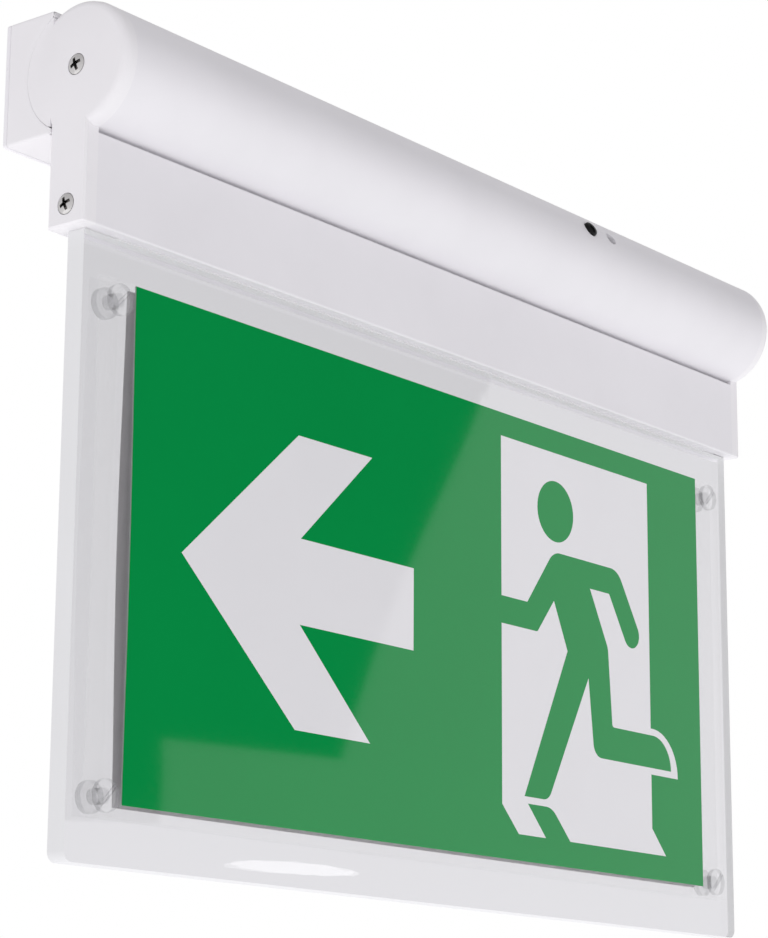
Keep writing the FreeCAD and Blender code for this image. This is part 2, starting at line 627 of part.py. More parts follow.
def make_end_cap():
    """Right-hand cap: hollow moulding over tube and skirt, with a spigot and two screw bosses."""
    outer = HOUSING_HALF
    cap = cap_disc().fuse(cap_skirt()).removeSplitter()
    pocket_end = outer - CAP_FACE
    cap = cap.cut(keyhole(CAP_RIM, PROFILE_HALF - CUT, pocket_end))

    # Three spigot tabs centre the cap in the tube
    tab_top = math.sqrt((BORE_RADIUS - SPIGOT_CLEARANCE)**2 - (SPIGOT_WIDTH / 2)**2)
    for angle in SPIGOT_ANGLES:
        cap = cap.fuse(radial_block(PROFILE_HALF - SPIGOT_LENGTH, pocket_end + CUT,
                                    tab_top - SPIGOT_WALL, tab_top, SPIGOT_WIDTH, angle))

    # Screw bosses reach in to the tray's tab and to the panel frame
    along = vec(1, 0, 0)
    for (y, z), inner in zip(cap_screw_places(), (TRAY_HALF, FRAME_HALF)):
        foot = vec(inner, y, z)
        cap = cap.fuse(shank(foot, along, pocket_end + CUT - inner, CAP_BOSS_RADIUS))
        cap = cap.cut(shank_hole(foot, along, outer - inner, CAP_SCREW_RADIUS + SCREW_CLEARANCE))
        cap = cap.cut(rod_x(outer - CAP_SCREW_HEAD_HEIGHT, outer + CUT, y, z,
                            CAP_SCREW_HEAD_RADIUS + SCREW_CLEARANCE))
    return cap.removeSplitter()


def make_end_cap_screws():
    """Screws of both end caps, with flush heads."""
    outer = HOUSING_HALF
    screws = []
    for y, z in cap_screw_places():
        stem = shank(vec(outer - CAP_SCREW_LENGTH, y, z), vec(1, 0, 0),
                     CAP_SCREW_LENGTH - CAP_SCREW_HEAD_HEIGHT, CAP_SCREW_RADIUS)
        head = round_head(vec(outer - CAP_SCREW_HEAD_HEIGHT, y, z), vec(1, 0, 0), CAP_SCREW_HEAD_HEIGHT,
                          CAP_SCREW_HEAD_RADIUS)
        screw = stem.fuse(head).removeSplitter()
        screws += [screw, mirrored_x(screw)]
    return group(screws)


def control_prism(x0, x1, r0, r1, width):
    """Block square to the direction of the test button, between two distances from the tube's axis."""
    return radial_block(x0, x1, r0, r1, width, CONTROL_ANGLE)


def make_gear_tray():
    """Bent sheet chassis: floor, end tabs for the upper cap screws and a wing for the status board."""
    y0, y1 = AXIS_Y - TRAY_HALF_WIDTH, AXIS_Y + TRAY_HALF_WIDTH
    tray = block(-TRAY_HALF, TRAY_HALF, y0, y1, TRAY_BOTTOM_Z, -TRAY_DROP)
    for side in (-1, 1):
        x_in, x_out = sorted((side * (TRAY_HALF - TRAY_THICKNESS), side * TRAY_HALF))
        tab = block(x_in, x_out, AXIS_Y - TRAY_TAB_WIDTH / 2, AXIS_Y + TRAY_TAB_WIDTH / 2,
                    TRAY_BOTTOM_Z, TRAY_TAB_RISE)
        tab = tab.cut(shank_hole(vec(x_in, AXIS_Y, 0), vec(1, 0, 0), TRAY_THICKNESS,
                                 CAP_SCREW_RADIUS + SCREW_CLEARANCE))
        tray = tray.fuse(tab)
    middle = (BUTTON_X + INDICATOR_X) / 2
    x0, x1 = middle - STATUS_BOARD_LENGTH / 2, middle + STATUS_BOARD_LENGTH / 2
    rest = control_prism(x0, x1, WING_RADIUS - TRAY_THICKNESS, WING_RADIUS, STATUS_BOARD_WIDTH)
    out = tube_direction(CONTROL_ANGLE)
    along = tube_direction(CONTROL_ANGLE + QUARTER_TURN)
    centre = vec(x0, AXIS_Y, 0)
    foot_outer = centre + out * WING_RADIUS + along * (STATUS_BOARD_WIDTH / 2)
    foot_inner = centre + out * (WING_RADIUS - TRAY_THICKNESS) + along * (STATUS_BOARD_WIDTH / 2)
    leg = prism_yz([(foot_outer.y, foot_outer.z), (foot_inner.y, foot_inner.z),
                    (y0 + TRAY_THICKNESS, TRAY_BOTTOM_Z), (y0, TRAY_BOTTOM_Z)], x0, x1)
    return tray.fuse([rest, leg]).removeSplitter()


def make_status_board():
    """Small board on the tray's wing."""
    middle = (BUTTON_X + INDICATOR_X) / 2
    return control_prism(middle - STATUS_BOARD_LENGTH / 2, middle + STATUS_BOARD_LENGTH / 2,
                         WING_RADIUS, SWITCH_BASE, STATUS_BOARD_WIDTH)


def make_test_switch():
    """Square push switch with a well for the button's stem."""
    body = control_prism(BUTTON_X - SWITCH_SIDE / 2, BUTTON_X + SWITCH_SIDE / 2,
                         SWITCH_BASE, SWITCH_BASE + SWITCH_HEIGHT, SWITCH_SIDE)
    side = BUTTON_STEM_SIDE + 2 * BUTTON_HOLE_CLEARANCE
    well = control_prism(BUTTON_X - side / 2, BUTTON_X + side / 2, SWITCH_BASE + SWITCH_FLOOR,
                         SWITCH_BASE + SWITCH_HEIGHT + CUT, side)
    return body.cut(well)


def make_test_button():
    """Push button: cap in the tube's hole, stop flange behind the wall and stem in the switch."""
    flange_top = math.sqrt(BORE_RADIUS**2 - BUTTON_FLANGE_RADIUS**2) - BUTTON_HOLE_CLEARANCE
    flange_base = flange_top - BUTTON_FLANGE_THICKNESS
    top = TUBE_RADIUS + BUTTON_PROUD
    cap = rod_radial(BUTTON_X, CONTROL_ANGLE, flange_base, top, BUTTON_RADIUS)
    flange = rod_radial(BUTTON_X, CONTROL_ANGLE, flange_base, flange_top, BUTTON_FLANGE_RADIUS)
    stem_tip = SWITCH_BASE + SWITCH_FLOOR + BUTTON_TRAVEL + BUTTON_HOLE_CLEARANCE
    stem = control_prism(BUTTON_X - BUTTON_STEM_SIDE / 2, BUTTON_X + BUTTON_STEM_SIDE / 2,
                         stem_tip, flange_base, BUTTON_STEM_SIDE)
    return cap.fuse([flange, stem]).removeSplitter()


def make_status_light_pipe():
    """Clear pipe that brings the indicator's light from the board to the tube's wall."""
    tip = TUBE_RADIUS - INDICATOR_RECESS
    return rod_radial(INDICATOR_X, CONTROL_ANGLE, SWITCH_BASE, tip, INDICATOR_RADIUS)


def make_driver_board():
    """Control gear board."""
    return block(DRIVER_X - DRIVER_LENGTH / 2, DRIVER_X + DRIVER_LENGTH / 2,
                 AXIS_Y - DRIVER_WIDTH / 2, AXIS_Y + DRIVER_WIDTH / 2, DRIVER_BASE_Z, DRIVER_TOP_Z)


def make_board_pillars():
    """Four hexagonal spacers between tray and driver board."""
    reach_x = DRIVER_LENGTH / 2 - PILLAR_INSET
    reach_y = DRIVER_WIDTH / 2 - PILLAR_INSET
    feet = [vec(DRIVER_X + x, AXIS_Y + y, -TRAY_DROP)
            for x in (-reach_x, reach_x) for y in (-reach_y, reach_y)]
    up = vec(0, 0, 1)
    return group([flat_sided(foot, up, PILLAR_HEIGHT, PILLAR_RADIUS, PILLAR_SIDES) for foot in feet])


def make_transformer():
    """Bobbin transformer: wound core between two flanges."""
    z = DRIVER_TOP_Z
    x0, x1 = TRANSFORMER_X - TRANSFORMER_LENGTH / 2, TRANSFORMER_X + TRANSFORMER_LENGTH / 2
    y0, y1 = AXIS_Y - TRANSFORMER_WIDTH / 2, AXIS_Y + TRANSFORMER_WIDTH / 2
    edge = TRANSFORMER_FLANGE
    core = block(x0, x1, y0 + edge, y1 - edge, z, z + TRANSFORMER_HEIGHT - edge)
    flanges = [block(x, x + edge, y0, y1, z, z + TRANSFORMER_HEIGHT) for x in (x0, x1 - edge)]
    return core.fuse(flanges).removeSplitter()


def make_capacitors():
    """Upright capacitors of three sizes."""
    z = DRIVER_TOP_Z
    sizes = zip(CAPACITOR_OFFSETS, CAPACITOR_RADII, CAPACITOR_HEIGHTS)
    return group([round_head(vec(DRIVER_X + offset, AXIS_Y, z), vec(0, 0, 1), height, radius)
                  for offset, radius, height in sizes])


def make_plug_header():
    """Open box header for the battery and light source plugs."""
    z = DRIVER_TOP_Z
    y0, y1 = AXIS_Y - HEADER_WIDTH / 2, AXIS_Y + HEADER_WIDTH / 2
    x0, x1 = HEADER_X - HEADER_LENGTH / 2, HEADER_X + HEADER_LENGTH / 2
    box = block(x0, x1, y0, y1, z, z + HEADER_HEIGHT)
    return box.cut(block(x0 + HEADER_WALL, x1 - HEADER_WALL, y0 + HEADER_WALL, y1 - HEADER_WALL,
                         z + HEADER_WALL, z + HEADER_HEIGHT + CUT))


def make_terminal_block():
    """Mains terminal block with wire holes from the side and screw wells from above."""
    z0, z1 = -TRAY_DROP, -TRAY_DROP + TERMINAL_HEIGHT
    body = block(TERMINAL_X - TERMINAL_LENGTH / 2, TERMINAL_X + TERMINAL_LENGTH / 2,
                 AXIS_Y - TERMINAL_WIDTH / 2, AXIS_Y + TERMINAL_WIDTH / 2, z0, z1)
    pitch = TERMINAL_LENGTH / TERMINAL_WAYS
    middle = (z0 + z1) / 2
    for way in range(TERMINAL_WAYS):
        x = TERMINAL_X + (way - (TERMINAL_WAYS - 1) / 2) * pitch
        half = TERMINAL_POCKET / 2
        wire_hole = block(x - half, x + half, AXIS_Y - TERMINAL_WIDTH, AXIS_Y + TERMINAL_WIDTH,
                          middle - half, middle + half)
        screw_well = block(x - half, x + half, AXIS_Y - half, AXIS_Y + half, middle, z1 + CUT)
        body = body.cut(wire_hole).cut(screw_well)
    return body


def make_battery_pack():
    """Stick of cells in a shrink sleeve."""
    return rod_x(BATTERY_START, BATTERY_END, AXIS_Y, BATTERY_AXIS_Z, BATTERY_RADIUS)


def make_battery_straps():
    """Two sprung hoops that hold the battery on the tray."""
    z = BATTERY_AXIS_Z
    inner = BATTERY_RADIUS + STRAP_CLEARANCE
    outer = inner + STRAP_THICKNESS
    floor = -TRAY_DROP
    straps = []
    for middle in (BATTERY_START + STRAP_INSET, BATTERY_END - STRAP_INSET):
        x0, x1 = middle - STRAP_WIDTH / 2, middle + STRAP_WIDTH / 2
        legs = block(x0, x1, AXIS_Y - outer, AXIS_Y + outer, floor, z)
        hoop = rod_x(x0, x1, AXIS_Y, z, outer).fuse(legs)
        space = rod_x(x0 - CUT, x1 + CUT, AXIS_Y, z, inner)
        space = space.fuse(block(x0 - CUT, x1 + CUT, AXIS_Y - inner, AXIS_Y + inner, floor - outer, z))
        below = block(x0 - CUT, x1 + CUT, AXIS_Y - outer - CUT, AXIS_Y + outer + CUT, floor - outer, floor)
        straps.append(hoop.cut(space).cut(below).removeSplitter())
    return group(straps)


def make_led_board():
    """Light source strip under the shelf."""
    return block(-LED_BOARD_LENGTH / 2, LED_BOARD_LENGTH / 2, SKIRT_CENTRE_Y - LED_BOARD_WIDTH / 2,
                 SKIRT_CENTRE_Y + LED_BOARD_WIDTH / 2, CHANNEL_TOP_Z - LED_BOARD_THICKNESS, CHANNEL_TOP_Z)


def make_led_chips():
    """Row of light emitters that face the panel's top edge."""
    chips = []
    for index in range(LED_COUNT):
        x = (index - (LED_COUNT - 1) / 2) * LED_PITCH
        chips.append(block(x - LED_LENGTH / 2, x + LED_LENGTH / 2, SKIRT_CENTRE_Y - LED_WIDTH / 2,
                           SKIRT_CENTRE_Y + LED_WIDTH / 2, LED_BOTTOM_Z, LED_BOTTOM_Z + LED_HEIGHT))
    return group(chips)


def pin_hole(x, y0, y1):
    """Hole for a cross pin, from face to face."""
    return shank_hole(vec(x, y0, -PIN_DROP), vec(0, 1, 0), y1 - y0, PIN_RADIUS + PIN_CLEARANCE)


def make_panel_frame():
    """Moulded frame in the skirt: two long walls beside the panel's tongue, joined by end blocks."""
    y0, y1 = CHANNEL_FRONT_Y + FRAME_CLEARANCE, CHANNEL_BACK_Y - FRAME_CLEARANCE
    z0, z1 = LIP_TOP_Z, PANEL_TOP_Z - FRAME_TOP_GAP
    frame = block(-FRAME_HALF, FRAME_HALF, y0, y1, z0, z1)
    slot_half = FRAME_HALF - FRAME_END_LENGTH
    frame = frame.cut(block(-slot_half, slot_half, PANEL_FRONT_Y - FRAME_SLOT_CLEARANCE,
                            PANEL_BACK_Y + FRAME_SLOT_CLEARANCE, z0 - CUT, z1 + CUT))
    for x in both(PIN_SPACING):
        frame = frame.cut(pin_hole(x, y0, y1))
    y, z = cap_screw_places()[1]
    bore = shank_hole(vec(-FRAME_HALF, y, z), vec(1, 0, 0), FRAME_END_LENGTH,
                      CAP_SCREW_RADIUS + SCREW_CLEARANCE)
    return frame.cut([bore, mirrored_x(bore)])


def make_panel_pins():
    """Cross pins through the frame and the panel's tongue."""
    y0, y1 = CHANNEL_FRONT_Y + FRAME_CLEARANCE, CHANNEL_BACK_Y - FRAME_CLEARANCE
    return group([shank(vec(x, y0, -PIN_DROP), vec(0, 1, 0), y1 - y0, PIN_RADIUS) for x in both(PIN_SPACING)])


def stud_places():
    """Centres of the four studs as X and Z."""
    return [(x, SHEET_CENTRE_Z + z) for x in both(STUD_SPACING_X) for z in both(STUD_SPACING_Z)]


def make_light_guide_panel():
    """Clear panel: wide plate with rounded lower corners and a narrower tongue that goes into the skirt."""
    half = PANEL_WIDTH / 2
    tongue = FRAME_HALF - FRAME_END_LENGTH - FRAME_SLOT_CLEARANCE
    shoulder, bottom = PANEL_SHOULDER_Z, PANEL_BOTTOM_Z
    outline = [
        (-tongue, PANEL_TOP_Z), (tongue, PANEL_TOP_Z), (tongue, shoulder), (half, shoulder),
        (half, bottom), (-half, bottom), (-half, shoulder), (-tongue, shoulder),
    ]
    panel = prism_xz(outline, PANEL_FRONT_Y, PANEL_BACK_Y)
    corners = edges_where(panel, lambda c: c.z < bottom + TINY and abs(c.x) > half - TINY)
    panel = panel.makeFillet(PANEL_CORNER_RADIUS, corners)
    holes = [shank_hole(vec(x, PANEL_FRONT_Y, z), vec(0, 1, 0), PANEL_THICKNESS, STUD_RADIUS + STUD_CLEARANCE)
             for x, z in stud_places()]
    holes += [pin_hole(x, PANEL_FRONT_Y, PANEL_BACK_Y) for x in both(PIN_SPACING)]
    return panel.cut(holes)


def sheet_holes(sheet, face_y, outward):
    """Film with its stud holes."""
    starts = [vec(x, face_y, z) for x, z in stud_places()]
    radius = STUD_RADIUS + STUD_CLEARANCE
    return sheet.cut([shank_hole(start, vec(0, outward, 0), SHEET_THICKNESS, radius) for start in starts])


def sheet_profile(x, bow):
    """Edge of the front film, flat at its studs and bowed away from the panel between them."""
    heights = (SHEET_TOP_Z, SHEET_TOP_Z - SHEET_FLAT, SHEET_BOTTOM_Z + SHEET_FLAT, SHEET_BOTTOM_Z)

    def side(y):
        ends = [vec(x, y, z) for z in heights]
        middle = Part.makeLine(ends[1], ends[2])
        if bow:
            middle = Part.Arc(ends[1], vec(x, y - bow, SHEET_CENTRE_Z), ends[2]).toShape()
        return [Part.makeLine(ends[0], ends[1]), middle, Part.makeLine(ends[2], ends[3])], ends

    near, near_ends = side(PANEL_FRONT_Y)
    far, far_ends = side(PANEL_FRONT_Y - SHEET_THICKNESS)
    tips = [Part.makeLine(near_ends[i], far_ends[i]) for i in (0, -1)]
    return Part.Wire(Part.__sortEdges__(near + far + tips))


def make_pictogram_sheet():
    """Sign film on the front of the panel: its left edge stands off in a bow that fades out along it."""
    left, right = -SHEET_WIDTH / 2, SHEET_WIDTH / 2
    flat_from = left + SHEET_BOW_REACH
    bowed = Part.makeLoft([sheet_profile(left, SHEET_BOW), sheet_profile(flat_from, 0.0)], True, True)
    flat = block(flat_from, right, PANEL_FRONT_Y - SHEET_THICKNESS, PANEL_FRONT_Y,
                 SHEET_BOTTOM_Z, SHEET_TOP_Z)
    return sheet_holes(bowed.fuse(flat).removeSplitter(), PANEL_FRONT_Y, -1)


def make_backing_sheet():
    """Flat reflector film on the back of the panel."""
    sheet = block(-SHEET_WIDTH / 2, SHEET_WIDTH / 2, PANEL_BACK_Y, PANEL_BACK_Y + SHEET_THICKNESS,
                  SHEET_BOTTOM_Z, SHEET_TOP_Z)
    return sheet_holes(sheet, PANEL_BACK_Y, 1)


def make_sheet_studs():
    """Slotted heads on the front film, with shanks through the panel."""
    seat = PANEL_FRONT_Y - SHEET_THICKNESS
    end = PANEL_BACK_Y + SHEET_THICKNESS
    studs = []
    for x, z in stud_places():
        top = vec(x, seat - STUD_HEAD_HEIGHT, z)
        head = round_head(top, vec(0, 1, 0), STUD_HEAD_HEIGHT, STUD_HEAD_RADIUS)
        slot = block(-STUD_HEAD_RADIUS - CUT, STUD_HEAD_RADIUS + CUT, seat - STUD_HEAD_HEIGHT - CUT,
                     seat - STUD_HEAD_HEIGHT + STUD_SLOT_DEPTH, -STUD_SLOT_WIDTH / 2, STUD_SLOT_WIDTH / 2)
        slot.translate(vec(x, 0, z))
        slot.rotate(vec(x, 0, z), vec(0, 1, 0), STUD_SLOT_TURN)
        stem = shank(vec(x, seat, z), vec(0, 1, 0), end - seat, STUD_RADIUS)
        studs.append(head.cut(slot).fuse(stem).removeSplitter())
    return group(studs)


def make_sheet_stud_caps():
    """Rear heads of the studs, on the ends of the shanks behind the backing film."""
    seat = PANEL_BACK_Y + SHEET_THICKNESS
    return group([round_head(vec(x, seat, z), vec(0, 1, 0), STUD_HEAD_HEIGHT, STUD_HEAD_RADIUS)
                  for x, z in stud_places()])


def build():
    """All pieces by node name."""
    end_cap = make_end_cap()
    return {
        "wall_plate": make_wall_plate(),
        "cable_grommet": make_cable_grommet(),
        "swivel_base": make_swivel_base(),
        "clamp_screws": make_clamp_screws(),
        "clamp_shoes": make_clamp_shoes(),
        "tube_housing": make_tube_housing(),
        "slot_grommet": make_slot_grommet(),
        "end_cap_right": end_cap,
        "end_cap_left": mirrored_x(end_cap),
        "end_cap_screws": make_end_cap_screws(),
        "gear_tray": make_gear_tray(),
        "status_board": make_status_board(),
        "test_switch": make_test_switch(),
        "test_button": make_test_button(),
        "status_light_pipe": make_status_light_pipe(),
        "driver_board": make_driver_board(),
        "board_pillars": make_board_pillars(),
        "transformer": make_transformer(),
        "capacitors": make_capacitors(),
        "plug_header": make_plug_header(),
        "terminal_block": make_terminal_block(),
        "battery_pack": make_battery_pack(),
        "battery_straps": make_battery_straps(),
        "led_board": make_led_board(),
        "led_chips": make_led_chips(),
        "panel_frame": make_panel_frame(),
        "panel_pins": make_panel_pins(),
        "light_guide_panel": make_light_guide_panel(),
        "pictogram_sheet": make_pictogram_sheet(),
        "backing_sheet": make_backing_sheet(),
        "sheet_studs": make_sheet_studs(),
        "sheet_stud_caps": make_sheet_stud_caps(),
    }


os.makedirs("parts", exist_ok=True)
for node, shape in build().items():
    shape.exportStep("parts/" + node + ".step")
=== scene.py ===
"""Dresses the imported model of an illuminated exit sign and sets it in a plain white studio."""
import logging
import math
from dataclasses import dataclass, replace
from enum import Enum
from typing import Callable

import bmesh
import bpy
from bmesh.types import BMEdge, BMesh
from bpy.types import Material, Mesh, Node, NodeInputs, NodeSocket, NodeTree, Object
from mathutils import Matrix, Vector
from mathutils.geometry import delaunay_2d_cdt


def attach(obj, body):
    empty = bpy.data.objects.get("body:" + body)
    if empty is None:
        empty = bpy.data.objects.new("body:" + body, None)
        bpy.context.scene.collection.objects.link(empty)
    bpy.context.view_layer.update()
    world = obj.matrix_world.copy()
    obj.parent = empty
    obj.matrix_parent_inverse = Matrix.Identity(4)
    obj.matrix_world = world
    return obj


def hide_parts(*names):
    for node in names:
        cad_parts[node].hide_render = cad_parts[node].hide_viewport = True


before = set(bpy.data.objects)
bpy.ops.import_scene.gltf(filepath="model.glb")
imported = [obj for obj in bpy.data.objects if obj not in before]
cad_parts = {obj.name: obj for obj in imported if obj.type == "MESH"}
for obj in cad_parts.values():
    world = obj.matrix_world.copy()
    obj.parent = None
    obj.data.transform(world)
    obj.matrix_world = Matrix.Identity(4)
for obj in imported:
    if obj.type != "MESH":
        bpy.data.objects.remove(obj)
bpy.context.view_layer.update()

LOG = logging.getLogger("exit_sign")
# Millimetre in metres, and how close two corners of a mesh are to be one.
MM = 0.001
MERGE = 2e-6
# How close a corner is to a line or arc to lie on it, and points of a print to be one, in millimetres.
NEAR_MM = 0.05
PRINT_MERGE_MM = 1e-4
# Angles of faces that count as one, of edges that stay smooth and of edges that are broken.
FLAT_ANGLE = math.radians(0.3)
SMOOTH_ANGLE = math.radians(32)
BROKEN_ANGLE = math.radians(40)
# Number of faces across a broken edge.
BROKEN_STEPS = 2
# Steps of a drawn arc and of a turned piece.
ARC_STEP = math.radians(7)
LATHE_STEPS = 48
# Share of an axis in a face's normal above which the face looks along that axis.
FACING = 0.5
# Width of the broad clouds in a finish, the span that holds most of a noise, and the least roughness.
CLOUD_MM = 45.0
NOISE_SPAN = (0.3, 0.7)
SMOOTHEST = 0.02
WHITE = (1.0, 1.0, 1.0, 1.0)

Point = tuple[float, float]
Corner = tuple[float, float, float]
Colour = tuple[float, float, float, float]
Sizes = dict[str, tuple[str, object]]
Places = Callable[[NodeTree, NodeInputs, NodeSocket], NodeSocket]


class Body(Enum):
    """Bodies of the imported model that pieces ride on."""

    BASE = "base"
    HOUSING = "housing"
    BUTTON = "button"


class Edge(Enum):
    """How far the edges of a refined piece are broken, in millimetres."""

    AS_MODELLED = 0.0
    FINE = 0.15
    SOFT = 0.35


class Axis(Enum):
    """Axis that a turned or drawn out piece stands on."""

    X = Matrix.Identity(4)
    Y = Matrix.Rotation(math.pi / 2, 4, "Z")


def linear(colour: str) -> Colour:
    """Turns an sRGB hex colour into a linear one.

    Args:
        colour: six hex digits.

    Returns:
        Linear red, green, blue and an alpha of one.
    """
    shares = [int(colour[i:i + 2], 16) / 255 for i in (0, 2, 4)]
    red, green, blue = [s / 12.92 if s <= 0.04045 else ((s + 0.055) / 1.055) ** 2.4 for s in shares]
    return red, green, blue, 1.0


def add_node(tree: NodeTree, kind: str, inputs: dict[str | int, object] | None = None,
             **settings: object) -> Node:
    """Adds a node with its settings, values and links.

    Args:
        tree: node tree that gets the node.
        kind: Blender's type name of the node.
        inputs: values or source sockets, by input name or index.
        settings: properties of the node itself.

    Returns:
        The new node.
    """
    node = tree.nodes.new(kind)
    for name, value in settings.items():
        setattr(node, name, value)
    for key, value in (inputs or {}).items():
        if isinstance(value, NodeSocket):
            tree.links.new(value, node.inputs[key])
        else:
            node.inputs[key].default_value = value
    return node


@dataclass(frozen=True)
class Finish:
    """Opaque surface with grains of a real size.

    Attributes:
        name: common name of the material.
        colour: sRGB hex value.
        roughness: mean roughness.
        ior: refraction index, at the default on metals.
        metallic: one on bare metal.
        grain_mm: width of the grains.
        relief_mm: height of the grains.
        wander: how far the roughness leaves its mean.
        shade: how far the colour leaves its mean.
        stretch: how much longer the grains are along X.
        glow: light that comes out of it.
    """

    name: str
    colour: str
    roughness: float
    ior: float = 1.5
    metallic: float = 0.0
    grain_mm: float = 1.0
    relief_mm: float = 0.0
    wander: float = 0.04
    shade: float = 0.02
    stretch: float = 1.0
    glow: float = 0.0

    def build(self) -> Material:
        """Makes the material once and hands out the same one after that.

        Returns:
            The material.
        """
        made = bpy.data.materials.get(self.name)
        if made:
            return made
        material = bpy.data.materials.new(self.name)
        material.use_nodes = True
        material.diffuse_color = linear(self.colour)
        tree = material.node_tree
        tree.nodes.clear()
        shader = add_node(tree, "ShaderNodeBsdfPrincipled", self.constants())
        self.add_texture(tree, shader)
        add_node(tree, "ShaderNodeOutputMaterial", {"Surface": shader.outputs[0]})
        return material

    def constants(self) -> dict[str, object]:
        """Values that are the same all over the surface."""
        return {
            "Metallic": self.metallic, "IOR": self.ior,
            "Emission Color": WHITE, "Emission Strength": self.glow,
        }

    def grains(self, tree: NodeTree, width_mm: float, stretch: float = 1.0) -> NodeSocket:
        """Noise whose grains have a real width.

        Args:
            tree: the material's node tree.
            width_mm: width of one grain.
            stretch: how much longer a grain is along X.

        Returns:
            The noise value's socket.
        """
        scale = 1.0 / (width_mm * MM)
        place = add_node(tree, "ShaderNodeTexCoord")
        sized = add_node(tree, "ShaderNodeMapping", {
            "Vector": place.outputs["Object"], "Scale": (scale / stretch, scale, scale),
        })
        noise = add_node(tree, "ShaderNodeTexNoise", {
            "Vector": sized.outputs[0], "Scale": 1.0, "Detail": 3.0, "Roughness": 0.55,
        })
        return noise.outputs["Fac"]

    def ramp(self, tree: NodeTree, share: NodeSocket, low: Colour, high: Colour,
             span: Point = NOISE_SPAN) -> NodeSocket:
        """Blends two colours over part of a value's range.

        Args:
            tree: the material's node tree.
            share: the value.
            low: colour up to the start of the span.
            high: colour from its end on.
            span: where the blend begins and where it is complete.

        Returns:
            The colour's socket.
        """
        node = add_node(tree, "ShaderNodeValToRGB", {"Fac": share})
        for element, position, colour in zip(node.color_ramp.elements, span, (low, high)):
            element.position = position
            element.color = colour
        return node.outputs["Color"]

    def shaded(self, share: float) -> Colour:
        """Own colour made lighter or darker by a share."""
        red, green, blue, alpha = linear(self.colour)
        return tuple(min(1.0, c * (1 + share)) for c in (red, green, blue)) + (alpha,)

    def add_texture(self, tree: NodeTree, shader: Node) -> None:
        """Varies colour, roughness and height.

        Args:
            tree: the material's node tree.
            shader: its main shader.
        """
        fine = self.grains(tree, self.grain_mm, self.stretch)
        broad = self.grains(tree, CLOUD_MM)
        rough = add_node(tree, "ShaderNodeMapRange", {
            "Value": fine, "From Min": NOISE_SPAN[0], "From Max": NOISE_SPAN[1],
            "To Min": max(SMOOTHEST, self.roughness - self.wander), "To Max": self.roughness + self.wander,
        })
        tree.links.new(rough.outputs[0], shader.inputs["Roughness"])
        tint = self.ramp(tree, broad, self.shaded(-self.shade), self.shaded(self.shade))
        tree.links.new(tint, shader.inputs["Base Color"])
        if self.relief_mm:
            bump = add_node(tree, "ShaderNodeBump", {"Height": fine, "Distance": self.relief_mm * MM})
            tree.links.new(bump.outputs[0], shader.inputs["Normal"])


@dataclass(frozen=True)
class ClearFinish(Finish):
    """Clear plastic whose surface is very slightly wavy.

    Attributes:
        milk: share of the light that is scattered inside and doesn't pass.
        cover: share of the surface that shows, on a piece that is too thin to bend the light.
    """

    milk: float = 0.0
    cover: float = 1.0

    def constants(self) -> dict[str, object]:
        """Values that are the same all over the surface."""
        return {
            "Base Color": linear(self.colour), "Roughness": self.roughness, "IOR": self.ior,
            "Transmission Weight": 1.0 - self.milk, "Alpha": self.cover,
        }

    def add_texture(self, tree: NodeTree, shader: Node) -> None:
        """Gives the surface its long low waves.

        Args:
            tree: the material's node tree.
            shader: its main shader.
        """
        waves = self.grains(tree, self.grain_mm)
        bump = add_node(tree, "ShaderNodeBump", {"Height": waves, "Distance": self.relief_mm * MM})
        tree.links.new(bump.outputs[0], shader.inputs["Normal"])


@dataclass(frozen=True)
class BoardFinish(Finish):
    """Solder mask with the lighter lines of the tracks under it.

    Attributes:
        track_mm: distance between the tracks.
        track_colour: sRGB hex value of the mask over copper.
        track_edge: where a track's edge begins and ends, as shares of that distance.
    """

    track_mm: float = 3.0
    track_colour: str = "2F7D4C"
    track_edge: Point = (0.06, 0.1)

    def add_texture(self, tree: NodeTree, shader: Node) -> None:
        """Draws the tracks and lifts them a little.

        Args:
            tree: the material's node tree.
            shader: its main shader.
        """
        scale = 1.0 / (self.track_mm * MM)
        place = add_node(tree, "ShaderNodeTexCoord")
        cells = add_node(tree, "ShaderNodeTexVoronoi", {
            "Vector": place.outputs["Object"], "Scale": scale,
        }, feature="DISTANCE_TO_EDGE")
        height = cells.outputs["Distance"]
        tint = self.ramp(tree, height, linear(self.track_colour), linear(self.colour), self.track_edge)
        tree.links.new(tint, shader.inputs["Base Color"])
        bump = add_node(tree, "ShaderNodeBump", {"Height": height, "Distance": self.relief_mm * MM})
        tree.links.new(bump.outputs[0], shader.inputs["Normal"])
        shader.inputs["Roughness"].default_value = self.roughness


# Grains finer than about half a millimetre are drawn coarser than they are, so that they show.

# Powder coat on an extrusion: satin, with a fine orange peel that softens its highlights.
POWDER_COAT = Finish("powder_coated_aluminium_white", "E9E7EB", 0.36, grain_mm=1.3, relief_mm=0.006)
# Polycarbonate from a spark-eroded mould: a close, even, satin grain.
MOULDED_WHITE = Finish("moulded_polycarbonate_white", "EDEBEE", 0.42, grain_mm=0.5, relief_mm=0.005)
# Stove enamel on sheet steel: smoother and a little glossier than the mouldings.
STOVE_ENAMEL = Finish("stove_enamelled_steel_white", "EDEBEF", 0.3, grain_mm=2.0, relief_mm=0.004)
# Moulded ABS: deep black with a polished face.
BLACK_PLASTIC = Finish("moulded_abs_black", "0B0B0C", 0.2, ior=1.25, grain_mm=0.4, relief_mm=0.004, shade=0.1)
# Moulded rubber: dull black with a dusty bloom.
RUBBER = Finish("moulded_rubber_black", "1C1B1B", 0.75, grain_mm=0.6, relief_mm=0.01, shade=0.15)
# Nickel plate on a turned screw: bright, with faint turning marks.
NICKEL = Finish("nickel_plated_steel", "D4D2D1", 0.14, metallic=1.0, grain_mm=0.25, relief_mm=0.003)
